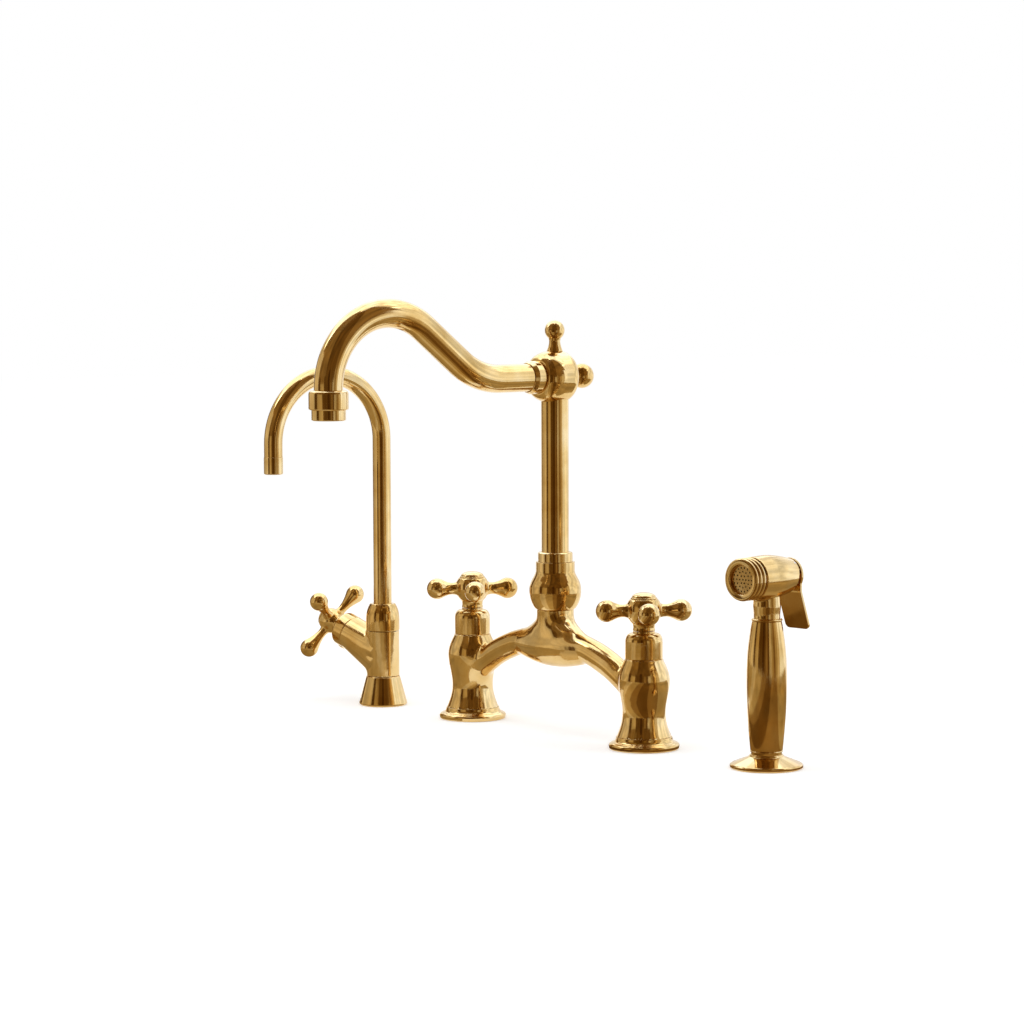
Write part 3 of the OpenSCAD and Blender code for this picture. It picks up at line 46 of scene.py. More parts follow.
mm = 0.001

# ---- where things stand, in millimetres, as in the solid model
row = {
    "legX": 101.6,
    "filterX": -207.0,
    "filterY": -9.0,
    "sprayX": 223.0,
    "sprayY": 8.5,
    "sprayTurn": 5.6,
    "legTop": 66.3,
    "spoutZ": 269.6,
}


def swell(t):
    # from 0 to 1, fast at first
    return math.sin(math.radians(90 * t))


def fall(t):
    # from 1 to 0, slow at first
    return math.cos(math.radians(90 * t))


def ease(t):
    # from 0 to 1, slow at both ends
    return (1 - math.cos(math.pi * t)) / 2


def mix(a, b, t):
    return a + (b - a) * t


def steps(count, first=0):
    return [i / count for i in range(first, count + 1)]


def arc(x, z, radius, angles):
    # points of a circle round (x, z), with angles in degrees from the level
    turns = [math.radians(a) for a in angles]
    return [(x + radius * math.cos(a), z + radius * math.sin(a)) for a in turns]


# ---- places of the groups, as matrices in metres
def at(x, y, z=0.0):
    return Matrix.Translation((x * mm, y * mm, z * mm))


def turnedBy(angle, axis):
    return Matrix.Rotation(math.radians(angle), 4, axis)


hotPlace = at(-row["legX"], 0)
coldPlace = at(row["legX"], 0)
filterPlace = at(row["filterX"], row["filterY"])
sprayPlace = at(row["sprayX"], row["sprayY"]) @ turnedBy(row["sprayTurn"], "Z")
hotValve = hotPlace @ at(0, 0, row["legTop"])
coldValve = coldPlace @ at(0, 0, row["legTop"])
forward = turnedBy(90, "X")  # turns +Z to -Y, towards the user


# ---- modelling helpers
def only(piece):
    bpy.ops.object.select_all(action="DESELECT")
    piece.select_set(True)
    bpy.context.view_layer.objects.active = piece


def edit(piece, mode="SELECT"):
    only(piece)
    bpy.ops.object.mode_set(mode="EDIT")
    bpy.ops.mesh.select_mode(type="VERT")
    bpy.ops.mesh.select_all(action=mode)


def leave():
    bpy.ops.object.mode_set(mode="OBJECT")


def applyAll(piece):
    only(piece)
    for modifier in list(piece.modifiers):
        bpy.ops.object.modifier_apply(modifier=modifier.name)


def move(piece, matrix):
    # the place goes into the mesh, so that the object stays at the origin
    only(piece)
    piece.matrix_world = matrix @ piece.matrix_world
    bpy.ops.object.transform_apply(location=True, rotation=True, scale=True)
    return piece


weld = 0.000002  # points closer than this, in metres, are one point


def drawLine(name, points):
    # a plane is merged to one vertex, which is then extruded along the points
    bpy.ops.object.select_all(action="DESELECT")
    bpy.ops.mesh.primitive_plane_add(size=mm, location=(0, 0, 0))
    piece = bpy.context.object
    piece.name = name
    edit(piece)
    bpy.ops.mesh.merge(type="CENTER")
    x, y, z = points[0]
    bpy.ops.transform.translate(value=(x * mm, y * mm, z * mm))
    for before, after in zip(points, points[1:]):
        step = [(b - a) * mm for a, b in zip(before, after)]
        bpy.ops.mesh.extrude_region_move(TRANSFORM_OT_translate={"value": step})
    return piece


def turn(name, profile, segments=128):
    # a profile of (radius, height) points, turned on a lathe round Z
    piece = drawLine(name, [(r, 0, z) for r, z in profile])
    bpy.ops.mesh.select_all(action="SELECT")
    bpy.ops.mesh.spin(steps=segments, angle=2 * math.pi, center=(0, 0, 0), axis=(0, 0, 1))
    bpy.ops.mesh.select_all(action="SELECT")
    bpy.ops.mesh.remove_doubles(threshold=weld)
    bpy.ops.mesh.normals_make_consistent(inside=False)
    leave()
    return piece


def solid(profile):
    # closes a profile onto the axis at both ends
    return [(0, profile[0][1])] + profile + [(0, profile[-1][1])]


def hollow(profile, bore):
    # closes a profile round a bore of that radius
    return [(bore, profile[0][1])] + profile + [(bore, profile[-1][1]), (bore, profile[0][1])]


def crisp(piece, width, angle=32):
    # small rounded edges, as a polished turned part has
    only(piece)
    bpy.ops.object.modifier_add(type="BEVEL")
    bevel = piece.modifiers[-1]
    bevel.width = width * mm
    bevel.segments = 3
    bevel.limit_method = "ANGLE"
    bevel.angle_limit = math.radians(angle)
    applyAll(piece)
    return piece


def smoothShade(piece, weighted=True):
    # weighted normals keep flat faces flat beside small rounds, and a cast skin needs none
    only(piece)
    bpy.ops.object.shade_smooth()
    if weighted:
        bpy.ops.object.modifier_add(type="WEIGHTED_NORMAL")
        piece.modifiers[-1].weight = 80
        applyAll(piece)
    return piece


def join(name, pieces):
    only(pieces[0])
    for piece in pieces[1:]:
        piece.select_set(True)
    bpy.ops.object.join()
    pieces[0].name = name
    return pieces[0]


def band(value, low, high, edge):
    # 1 between low and high, and down to 0 over the width of an edge beyond them
    return max(0.0, min(1.0, (value - low) / edge + 1, (high - value) / edge + 1))


def cast(piece, voxel, rounds):
    # overlapping solids become one skin, which is softened in rounds: how often, and how much where
    only(piece)
    bpy.ops.object.modifier_add(type="REMESH")
    remesh = piece.modifiers[-1]
    remesh.mode = "VOXEL"
    remesh.voxel_size = voxel * mm
    applyAll(piece)
    for count, share in rounds:
        group = piece.vertex_groups.new(name="joint")
        for v in piece.data.vertices:
            weight = share(v.co / mm) if share else 1.0
            if weight > 0:
                group.add([v.index], weight, "REPLACE")
        bpy.ops.object.modifier_add(type="SMOOTH")
        soften = piece.modifiers[-1]
        soften.factor = 0.5
        soften.iterations = count
        soften.vertex_group = group.name
        applyAll(piece)
        piece.vertex_groups.clear()
    return piece


def cut(piece, point, normal, edge=0.25):
    # cuts the piece off square beyond a plane, closes it, and breaks the edge
    edit(piece)
    bpy.ops.mesh.bisect(plane_co=[c * mm for c in point], plane_no=normal, use_fill=True, clear_outer=True)
    bpy.ops.mesh.bevel(offset=edge * mm, segments=2, affect="EDGES")
    leave()
    return piece


def carve(piece, tool):
    # takes the tool's shape out of the piece, and the tool away
    only(piece)
    bpy.ops.object.modifier_add(type="BOOLEAN")
    piece.modifiers[-1].object = tool
    piece.modifiers[-1].operation = "DIFFERENCE"
    applyAll(piece)
    only(tool)
    bpy.ops.object.delete()
    return piece


def disc(name, radius, vertices):
    bpy.ops.object.select_all(action="DESELECT")
    bpy.ops.mesh.primitive_circle_add(vertices=vertices, radius=radius * mm, fill_type="NGON")
    piece = bpy.context.object
    piece.name = name
    return piece


def sweep(name, radius, start, heading, legs):
    # a round bar in the upright plane x = 0: legs are ("straight", length) and ("bend", radius, angle)
    piece = disc(name, radius, 96)
    place = Vector((0, start[0], start[1])) * mm
    angle = math.radians(heading)
    move(piece, Matrix.Translation(place) @ Matrix.Rotation(math.pi / 2, 4, "X") @ Matrix.Rotation(-angle, 4, "X"))
    edit(piece)
    for leg in legs:
        along = Vector((0, -math.cos(angle), math.sin(angle)))
        if leg[0] == "straight":
            bpy.ops.mesh.extrude_region_move(TRANSFORM_OT_translate={"value": along * leg[1] * mm})
            place = place + along * leg[1] * mm
        else:
            bend, swing = leg[1], math.radians(leg[2])
            side = 1 if swing > 0 else -1
            over = Vector((0, math.sin(angle), math.cos(angle))) * side
            centre = place + over * bend * mm
            count = max(8, int(abs(leg[2]) / 2.5))  # a step every 2.5 degrees
            bpy.ops.mesh.spin(steps=count, angle=swing, center=centre, axis=(1, 0, 0))
            place = centre + Matrix.Rotation(-swing, 3, "X") @ (place - centre)
            angle += swing
    bpy.ops.mesh.select_all(action="SELECT")
    bpy.ops.mesh.remove_doubles(threshold=weld)
    bpy.ops.mesh.normals_make_consistent(inside=False)
    leave()
    return piece


def copyOf(piece, name):
    other = piece.copy()
    other.data = piece.data.copy()
    other.name = name
    scene.collection.objects.link(other)
    return other


def keep(piece, material, body, slotName, *nodes):
    # gives a finished piece its material and its body, and hides the nodes that it stands for
    piece.data.materials.clear()
    piece.data.materials.append(material)
    if nodes:
        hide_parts(*nodes)
    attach(piece, body)
    return piece


# ---- materials
def clearMaterial(name):
    material = bpy.data.materials.new(name)
    material.use_nodes = True
    material.node_tree.nodes.clear()
    return material, material.node_tree


def newMaterial(name, metal):
    material, tree = clearMaterial(name)
    shader = tree.nodes.new("ShaderNodeBsdfPrincipled")
    shader.inputs["Metallic"].default_value = metal
    out = tree.nodes.new("ShaderNodeOutputMaterial")
    tree.links.new(shader.outputs["BSDF"], out.inputs["Surface"])
    return material, tree, shader


def noise(tree, scale, detail, rough=0.5, stretch=None):
    # noise on Object coordinates, with scale in features to the metre
    source = tree.nodes.new("ShaderNodeTexCoord").outputs["Object"]
    if stretch:
        mapping = tree.nodes.new("ShaderNodeMapping")
        mapping.inputs["Scale"].default_value = stretch
        tree.links.new(source, mapping.inputs["Vector"])
        source = mapping.outputs["Vector"]
    texture = tree.nodes.new("ShaderNodeTexNoise")
    texture.inputs["Scale"].default_value = scale
    texture.inputs["Detail"].default_value = detail
    texture.inputs["Roughness"].default_value = rough
    tree.links.new(source, texture.inputs["Vector"])
    return texture.outputs["Fac"]


def ramp(tree, source, stops):
    node = tree.nodes.new("ShaderNodeValToRGB")
    while len(node.color_ramp.elements) < len(stops):
        node.color_ramp.elements.new(0.5)
    for element, (place, colour) in zip(node.color_ramp.elements, stops):
        element.position = place
        element.color = (*colour, 1.0)
    tree.links.new(source, node.inputs["Fac"])
    return node.outputs["Color"]


def spread(tree, source, low, high, start=0.0, end=1.0):
    node = tree.nodes.new("ShaderNodeMapRange")
    node.inputs["From Min"].default_value = start
    node.inputs["From Max"].default_value = end
    node.inputs["To Min"].default_value = low
    node.inputs["To Max"].default_value = high
    tree.links.new(source, node.inputs["Value"])
    return node.outputs["Result"]


def bump(tree, height, depth, under=None):
    node = tree.nodes.new("ShaderNodeBump")
    node.inputs["Strength"].default_value = 1.0
    node.inputs["Distance"].default_value = depth * mm
    tree.links.new(height, node.inputs["Height"])
    if under:
        tree.links.new(under, node.inputs["Normal"])
    return node.outputs["Normal"]


def brass(name, look):
    material, tree, shader = newMaterial(name, 1.0)
    # clouds of a warmer tarnish over the clean metal
    clouds = noise(tree, 1000.0 / look["cloud"], 4.0, 0.6)
    stops = [(0.32, look["warm"]), (0.5, look["clean"]), (0.72, look["pale"])]
    tree.links.new(ramp(tree, clouds, stops), shader.inputs["Base Color"])
    # wiped smudges in the gloss
    smudge = noise(tree, 1000.0 / look["smudge"], 5.0, 0.7)
    tree.links.new(spread(tree, smudge, look["gloss"], look["dull"], 0.3, 0.7), shader.inputs["Roughness"])
    # the slow waves of hand polishing, and its fine marks
    wave = bump(tree, noise(tree, 1000.0 / look["wave"], 1.0, 0.4), look["waveDepth"])
    mark = noise(tree, 1000.0 / look["mark"], 3.0, 0.6, look["markStretch"])
    tree.links.new(bump(tree, mark, look["markDepth"], wave), shader.inputs["Normal"])
    return material


# sizes of clouds, smudges, waves and marks, and their depths, are in millimetres
brassLook = {
    "warm": (0.66, 0.42, 0.14),
    "clean": (0.76, 0.53, 0.22),
    "pale": (0.82, 0.62, 0.32),
    "cloud": 26.0,
    "smudge": 9.0,
    "gloss": 0.06,
    "dull": 0.15,
    "wave": 14.0,
    "waveDepth": 0.03,
    "mark": 0.7,
    "markDepth": 0.0010,
    "markStretch": (1.0, 1.0, 0.25),
}
castBrass = brass("castBrass", {**brassLook, "wave": 10.0, "waveDepth": 0.12, "cloud": 34.0})
turnedBrass = brass("turnedBrass", brassLook)
tubeBrass = brass("tubeBrass", {**brassLook, "wave": 30.0, "waveDepth": 0.04})
brightBrass = brass(
    "brightBrass", {**brassLook, "clean": (0.80, 0.59, 0.28), "pale": (0.88, 0.70, 0.40), "gloss": 0.05}
)
bareBrass = brass(
    "bareBrass", {**brassLook, "gloss": 0.22, "dull": 0.36, "mark": 0.5, "markDepth": 0.004, "waveDepth": 0.01}
)
roseBrass = brass(
    "roseBrass", {**brassLook, "gloss": 0.2, "dull": 0.32, "mark": 0.9, "markDepth": 0.02, "markStretch": (1, 1, 1)}
)


def plain(name, look):
    material, tree, shader = newMaterial(name, look["metal"])
    grain = noise(tree, 1000.0 / look["grain"], 5.0)
    tree.links.new(ramp(tree, grain, [(0.3, look["dark"]), (0.7, look["light"])]), shader.inputs["Base Color"])
    gloss = spread(tree, grain, look["rough"] - look["uneven"], look["rough"] + look["uneven"])
    tree.links.new(gloss, shader.inputs["Roughness"])
    tree.links.new(bump(tree, grain, look["depth"]), shader.inputs["Normal"])
    return material


steelLook = {
    "metal": 1.0,
    "grain": 1.2,
    "dark": (0.5, 0.51, 0.52),
    "light": (0.66, 0.67, 0.69),
    "rough": 0.3,
    "uneven": 0.06,
    "depth": 0.01,
}
rubberLook = {
    **steelLook,
    "metal": 0.0,
    "grain": 0.8,
    "dark": (0.012, 0.012, 0.013),
    "light": (0.03, 0.03, 0.032),
    "rough": 0.7,
    "depth": 0.03,
}
plasticLook = {
    **steelLook,
    "metal": 0.0,
    "grain": 1.5,
    "dark": (0.66, 0.66, 0.63),
    "light": (0.78, 0.78, 0.76),
    "rough": 0.42,
}
steel = plain("steel", steelLook)
rubber = plain("rubber", rubberLook)
plastic = plain("plastic", plasticLook)
print("materials made")

# ---- the bridge: two legs, arched arms, the belly and the neck, cast in one
def zone(across, upwards):
    # a weight for a part of the bridge, alike on both sides, from two bands of (low, high, edge)
    return lambda v: band(abs(v.x), *across) * band(v.z, *upwards)


bridge = {
    "footR": 20.2,
    "waistR": 15.9,
    "bulgeR": 19.1,
    "topR": 13.8,
    "seam": 9.2,
    "waistZ": 26.2,
    "bulgeZ": 50.7,
    "flare": 0.6,
    "spare": 4.0,
    "armR": 10.0,
    "armTop": 71.4,
    "armDrop": 38.2,
    "bellyR": 15.5,
    "bellyHalf": 54.0,
    "bellyEnd": 5.5,
    "bellyZ": 66.0,
    "neckR": 14.2,
    "neckTop": 94.3,
    "neckSpare": 5.0,
    "webR": 8.8,
    "webTop": 79.0,
    "webX": 50.0,
    "webL": 52.0,
    "webTaper": 0.6,
    "hornR": 13.6,
    "hornFrom": 10.0,
    "hornTo": 36.0,
    "voxel": 0.9,
    "rounds": [
        (8, None),
        (50, zone((0, 62, 12), (46, 200, 8))),
        (60, zone((0, 42, 8), (73, 90, 4))),
        (110, zone((67.6, 97.6, 14), (30, 56, 10))),
        (8, None),
    ],
    "trimX": 70.0,
    "trimZ": 58.0,
    "trimEdge": 0.4,
}


def legProfile(b):
    points = [(b["footR"] + b["flare"], b["seam"] - b["spare"])]
    points += [(mix(b["footR"], b["waistR"], swell(t)), mix(b["seam"], b["waistZ"], t)) for t in steps(12)]
    points += [(mix(b["waistR"], b["bulgeR"], ease(t)), mix(b["waistZ"], b["bulgeZ"], t)) for t in steps(14, 1)]
    points += [(mix(b["topR"], b["bulgeR"], fall(t)), mix(b["bulgeZ"], row["legTop"], t)) for t in steps(14, 1)]
    return solid(points + [(b["topR"], row["legTop"] + b["spare"])])


def makeBridge(b):
    legX = row["legX"]
    leg = turn("leg", legProfile(b), 96)
    other = copyOf(leg, "otherLeg")
    move(leg, hotPlace)
    move(other, coldPlace)
    archR = (legX**2 + b["armDrop"] ** 2) / (2 * b["armDrop"])
    archZ = b["armTop"] - archR
    half = math.degrees(math.asin(legX / archR))
    start = at(0, 0, archZ) @ turnedBy(-half, "Y") @ at(0, 0, archR) @ turnedBy(90, "Y")
    arms = move(disc("arms", b["armR"], 64), start)
    edit(arms)
    bpy.ops.mesh.spin(steps=72, angle=-2 * math.radians(half), center=(0, 0, archZ * mm), axis=(0, 1, 0))
    leave()
    taper = [(mix(b["bellyEnd"], b["bellyR"], fall(abs(t))), b["bellyHalf"] * t) for t in steps(20, -20)]
    belly = move(turn("belly", solid(taper), 96), at(0, 0, b["bellyZ"]) @ turnedBy(90, "Y"))
    neck = turn("neck", solid([(b["neckR"], b["bellyZ"]), (b["neckR"], b["neckTop"] + b["neckSpare"])]), 96)
    webs = []
    armZ = archZ + math.sqrt(archR**2 - b["webX"] ** 2)
    slope = math.degrees(math.atan((b["webTop"] - armZ) / b["webX"]))
    for side in (-1, 1):
        horn = [(mix(b["hornR"], b["webR"], swell(t)), mix(b["hornFrom"], b["hornTo"], t)) for t in steps(12)]
        web = turn("web", solid([(b["hornR"], 0)] + horn + [(b["webR"] - b["webTaper"], b["webL"])]), 64)
        webs.append(move(web, at(0, 0, b["webTop"]) @ turnedBy(side * (90 + slope), "Y")))
    piece = join("bridge", [leg, other, arms, belly, neck] + webs)
    edit(piece)
    bpy.ops.mesh.normals_make_consistent(inside=False)
    leave()
    cast(piece, b["voxel"], b["rounds"])
    cut(piece, (0, 0, b["seam"]), (0, 0, -1))
    cut(piece, (0, 0, b["neckTop"]), (0, 0, 1))
    return smoothShade(piece, weighted=False)


def trimLegTops(piece, b):
    # only the legs are cut at their tops, not the neck between them
    for side in (-1, 1):
        only(piece)
        bpy.ops.object.mode_set(mode="EDIT")
        bpy.ops.mesh.select_all(action="DESELECT")
        leave()
        for face in piece.data.polygons:
            c = face.center / mm
            face.select = side * c.x > b["trimX"] and c.z > b["trimZ"]
        bpy.ops.object.mode_set(mode="EDIT")
        bpy.ops.mesh.select_mode(type="FACE")
        bpy.ops.mesh.bisect(plane_co=(0, 0, row["legTop"] * mm), plane_no=(0, 0, 1), use_fill=True, clear_outer=True)
        bpy.ops.mesh.bevel(offset=b["trimEdge"] * mm, segments=2, affect="EDGES")
        leave()
    return piece


bridgePiece = trimLegTops(makeBridge(bridge), bridge)
keep(bridgePiece, castBrass, "deck", "polished brass", "bridge_body")
print("bridge made")

# ---- the foot flanges
flange = {
    "underR": 24.4,
    "edgeR": 25.7,
    "edgeZ": 0.5,
    "rollX": 23.9,
    "rollZ": 2.6,
    "rollR": 2.1,
    "ledge": 4.9,
    "riseR": 23.6,
    "riseLow": 5.2,
    "riseHigh": 8.6,
    "neckR": 20.8,
    "topR": 20.6,
    "height": 9.2,
    "bore": 18.0,
}


def flangeProfile(f):
    points = [(f["underR"], 0.0), (f["edgeR"], f["edgeZ"])]
    points += arc(f["rollX"], f["rollZ"], f["rollR"], range(-30, 76, 15))
    points += [(f["rollX"], f["ledge"])]
    points += [(mix(f["riseR"], f["neckR"], swell(t)), mix(f["riseLow"], f["riseHigh"], 1 - fall(t))) for t in steps(8)]
    points += [(f["topR"], f["height"])]
    return hollow(points, f["bore"])


for name, place, node in (("hotFlange", hotPlace, "hot_flange"), ("coldFlange", coldPlace, "cold_flange")):
    piece = move(crisp(turn(name, flangeProfile(flange)), 0.18), place)
    keep(smoothShade(piece), turnedBrass, "deck", "polished brass", node)

# ---- bonnets and their cross handles
bonnet = {"r": 13.8, "edge": 0.45, "height": 19.1, "shoulder": 6.1, "topR": 8.2, "step": 1.0, "boss": 1.3, "bore": 6.6}
filterBonnet = {**bonnet, "r": 13.9, "height": 12.4, "shoulder": 4.6, "topR": 7.0, "bore": 5.6}


def bonnetProfile(b):
    points = [(b["r"] - b["edge"], 0), (b["r"], b["edge"])]
    points += [
        (mix(b["topR"] + b["step"], b["r"], fall(t)), b["height"] - b["shoulder"] * (1 - swell(t))) for t in steps(12)
    ]
    points += [(b["topR"], b["height"]), (b["topR"], b["height"] + b["boss"])]
    return hollow(points, b["bore"])


def bonnetPiece(name, look):
    return smoothShade(crisp(turn(name, bonnetProfile(look)), 0.22))


handle = {
    "hubR": 12.8,
    "hubZ": 35.4,
    "halfH": 8.5,
    "underHub": -50,
    "capR": 9.75,
    "capH": 5.0,
    "capWall": 1.1,
    "capStep": 0.7,
    "capStepH": 1.25,
    "domeIn": 0.8,
    "domeLow": 1.3,
    "skirtR": 8.4,
    "skirtIn": 0.5,
    "skirtWall": 0.6,
    "skirtH": 1.6,
    "low": 20.9,
    "spare": 3.0,
    "rootIn": 3.5,
    "rootTail": 4.0,
    "rootR": 7.0,
    "throatR": 6.5,
    "flareR": 6.3,
    "waistR": 4.6,
    "waistL": 6.5,
    "reach": 27.4,
    "ballR": 8.15,
    "lean": -26,
    "turn": -33.5,
    "voxel": 0.55,
}
filterHandle = {
    **handle,
    "hubR": 10.0,
    "hubZ": 23.7,
    "halfH": 7.2,
    "capR": 7.8,
    "capH": 4.2,
    "skirtR": 7.0,
    "low": 14.2,
    "rootR": 5.8,
    "throatR": 5.3,
    "flareR": 5.1,
    "waistR": 3.4,
    "reach": 29.3,
    "ballR": 7.4,
    "turn": 41.0,
    "voxel": 0.5,
}
seat = 0.05  # how far a piece stands off the face that it sits on


def armProfile(h):
    # the ball starts where the arm's neck runs into it, at a lean from the level
    ball = arc(0, h["reach"], h["ballR"], range(h["lean"], 90, 6))
    neckR, neckAt = ball[0]
    root = h["hubR"] - h["rootIn"]
    waistAt = root + h["waistL"]
    points = [(h["rootR"], root - h["rootTail"]), (h["throatR"], root)]
    points += [(mix(h["flareR"], h["waistR"], swell(t)), mix(root, waistAt, t)) for t in steps(6, 1)]
    points += [(mix(h["waistR"], neckR, t**1.7), mix(waistAt, neckAt, t)) for t in steps(12, 1)]
    return solid(points + ball[1:])


def makeHandle(name, h):
    hubTop = h["hubZ"] + h["halfH"]
    points = [(h["skirtR"], h["low"] - h["spare"]), (h["skirtR"], h["low"] + h["skirtWall"])]
    points += [(h["skirtR"] - h["skirtIn"], h["low"] + h["skirtH"])]
    points += arc(0, h["hubZ"], h["hubR"], [mix(h["underHub"], 0, t) for t in steps(14)])
    points += [(mix(h["capR"], h["hubR"], fall(t)), h["hubZ"] + h["halfH"] * swell(t)) for t in steps(10, 1)]
    hub = turn(name, solid(points + [(h["capR"], hubTop + h["spare"])]), 96)
    arms = []
    for quarter in range(4):
        arm = turn("arm", armProfile(h), 64)
        arms.append(move(arm, at(0, 0, h["hubZ"]) @ turnedBy(h["turn"] + 90 * quarter, "Z") @ turnedBy(90, "Y")))
    piece = join(name, [hub] + arms)
    cast(piece, h["voxel"], [(9, None)])
    cut(piece, (0, 0, h["low"]), (0, 0, -1))
    cut(piece, (0, 0, hubTop), (0, 0, 1))
    return smoothShade(piece, weighted=False)


def makeCap(name, h):
    top = h["hubZ"] + h["halfH"]
    domeR, domeZ = h["capR"] - h["domeIn"], top + h["domeLow"]
    points = [(h["capR"], top + seat), (h["capR"], top + h["capWall"]), (h["capR"] - h["capStep"], top + h["capStepH"])]
    points += [(domeR * fall(t), domeZ + (h["capH"] - h["domeLow"]) * swell(t)) for t in steps(16)]
    return smoothShade(crisp(turn(name, solid(points)), 0.18))


hotHandle = makeHandle("hotHandle", handle)
coldHandle = copyOf(hotHandle, "coldHandle")
hotCap = makeCap("hotCap", handle)
coldCap = copyOf(hotCap, "coldCap")
hotBonnet = bonnetPiece("hotBonnet", bonnet)
coldBonnet = copyOf(hotBonnet, "coldBonnet")
for piece, place, body, metal, slotName, node in (
    (hotHandle, hotValve, "hot_tap", castBrass, "polished brass", "hot_handle"),
    (hotCap, hotValve, "hot_tap", brightBrass, "bright brass", "hot_cap"),
    (hotBonnet, hotValve, "deck", turnedBrass, "polished brass", "hot_bonnet"),
    (coldHandle, coldValve, "cold_tap", castBrass, "polished brass", "cold_handle"),
    (coldCap, coldValve, "cold_tap", brightBrass, "bright brass", "cold_cap"),
    (coldBonnet, coldValve, "deck", turnedBrass, "polished brass", "cold_bonnet"),
):
    keep(move(piece, place), metal, body, slotName, node)
print("handles made")

# ---- the vase, its collar nut and the column
vase = {
    "foot": 94.3,
    "footR": 14.6,
    "underEdge": 0.2,
    "r": 19.6,
    "wide": 13.4,
    "topR": 14.8,
    "shoulder": 29.5,
    "height": 36.0,
    "spigotR": 11.0,
    "spigot": 12.0,
    "bore": 8.0,
}
nut = {"r": 13.2, "low": 130.3, "height": 7.4, "lip": 0.9, "spigotR": 12.6, "spigot": 6.0, "bore": 10.45}
column = {"r": 10.4, "low": 101.4, "high": 253.6, "footR": 12.65, "foot": 12.0}


def vaseProfile(v):
    z = v["foot"]
    wideZ, shoulderZ = z + v["wide"], z + v["shoulder"]
    points = [(v["spigotR"], z - v["spigot"]), (v["spigotR"], z), (v["footR"] - v["underEdge"], z)]
    points += [(mix(v["footR"], v["r"], swell(t) ** 0.7), mix(z, wideZ, t)) for t in steps(24, 1)]
    points += [(mix(v["r"], v["topR"], ease(t**1.4)), mix(wideZ, shoulderZ, t)) for t in steps(24, 1)]
    points += [(v["topR"], z + v["height"])]
    return hollow(points, v["bore"])


def nutProfile(n):
    top = n["low"] + n["height"]
    points = [(n["spigotR"], n["low"] - n["spigot"]), (n["spigotR"], n["low"] + seat), (n["r"], n["low"] + seat)]
    points += [(n["r"], top - n["lip"]), (n["r"] - n["lip"], top)]
    return hollow(points, n["bore"])


def columnProfile(c):
    footTop = c["low"] + c["foot"]
    return solid([(c["footR"], c["low"]), (c["footR"], footTop), (c["r"], footTop), (c["r"], c["high"])])


keep(smoothShade(crisp(turn("vase", vaseProfile(vase)), 0.25)), turnedBrass, "deck", "polished brass", "vase")
columnNut = smoothShade(crisp(turn("columnNut", nutProfile(nut)), 0.2, 28))
keep(columnNut, brightBrass, "deck", "bright brass", "column_nut")
columnTube = smoothShade(crisp(turn("columnTube", columnProfile(column)), 0.3))
keep(columnTube, tubeBrass, "spout", "polished brass", "column")

# ---- the spout's head with its finial, knob and collar
drum = {"r": 19.5, "halfW": 3.2, "rear": 10.6, "rearR": 14.3, "rearFaceR": 11.3, "front": 17.2, "frontR": 12.4}
finial = {"footR": 6.0, "foot": 289.1, "sunk": 0.6, "rise": 7.4, "neckR": 4.2, "ballR": 7.5, "ballAt": 304.5}
knob = {"footR": 7.5, "foot": 10.6, "sunk": 0.6, "rise": 3.4, "neckR": 5.5, "ballR": 9.3, "ballAt": 26.3}
collar = {"r": 12.4, "length": 10.0, "gap": 0.1, "chamfer": 1.4, "chamferL": 3.2, "bore": 10.45}
headPlace = at(0, 0, row["spoutZ"])
backward = turnedBy(-90, "X")


def drumProfile(d):
    points = [(d["rearFaceR"], -d["rear"])]
    points += [(mix(d["rearR"], d["r"], swell(t)), mix(-d["rear"], -d["halfW"], 1 - fall(t))) for t in steps(16)]
    points += [(mix(d["frontR"], d["r"], fall(t)), mix(d["halfW"], d["front"], swell(t))) for t in steps(18)]
    return solid(points)


def finialProfile(f):
    # a foot sunk a little into what it stands on, a neck, and a ball from where the neck meets it
    meets = math.degrees(math.asin(f["neckR"] / f["ballR"]))
    points = [(f["footR"], f["foot"] - f["sunk"])]
    points += [(mix(f["footR"], f["neckR"], swell(t)), f["foot"] + f["rise"] * t) for t in steps(12)]
    points += arc(0, f["ballAt"], f["ballR"], range(int(meets) - 86, 90, 5))
    return solid(points)


def collarProfile(c):
    end = drum["front"] + c["length"]
    points = [(c["r"], drum["front"] + c["gap"]), (c["r"], end - c["chamferL"]), (c["r"] - c["chamfer"], end)]
    return hollow(points, c["bore"])


spoutHead = move(turn("spoutHead", drumProfile(drum)), headPlace @ forward)
topFinial = turn("topFinial", finialProfile(finial))
rearKnob = move(turn("rearKnob", finialProfile(knob)), headPlace @ backward)
spoutCollar = move(turn("spoutCollar", collarProfile(collar)), headPlace @ forward)
keep(smoothShade(crisp(spoutHead, 0.35)), castBrass, "spout", "polished brass", "spout_head")
keep(smoothShade(topFinial), turnedBrass, "spout", "polished brass", "top_finial")
keep(smoothShade(rearKnob), turnedBrass, "spout", "polished brass", "rear_knob")
keep(smoothShade(crisp(spoutCollar, 0.25, 12)), brightBrass, "spout", "bright brass", "spout_collar")

# ---- the swan neck
neckTube = {
    "r": 10.4,
    "start": 15.2,
    "level": 53.2,
    "riseR": 60.3,
    "rise": 38.0,
    "riseL": 42.3,
    "topR": 52.6,
    "end": 9.4,
}


def makeSwanNeck(n):
    legs = [
        ("straight", n["level"] - n["start"]),
        ("bend", n["riseR"], n["rise"]),
        ("straight", n["riseL"]),
        ("bend", n["topR"], -(90 + n["rise"])),
        ("straight", n["end"]),
    ]
    return sweep("swanNeck", n["r"], (-n["start"], row["spoutZ"]), 0, legs)


swanNeck = makeSwanNeck(neckTube)
keep(smoothShade(crisp(swanNeck, 0.3)), tubeBrass, "spout", "polished brass", "spout_tube")

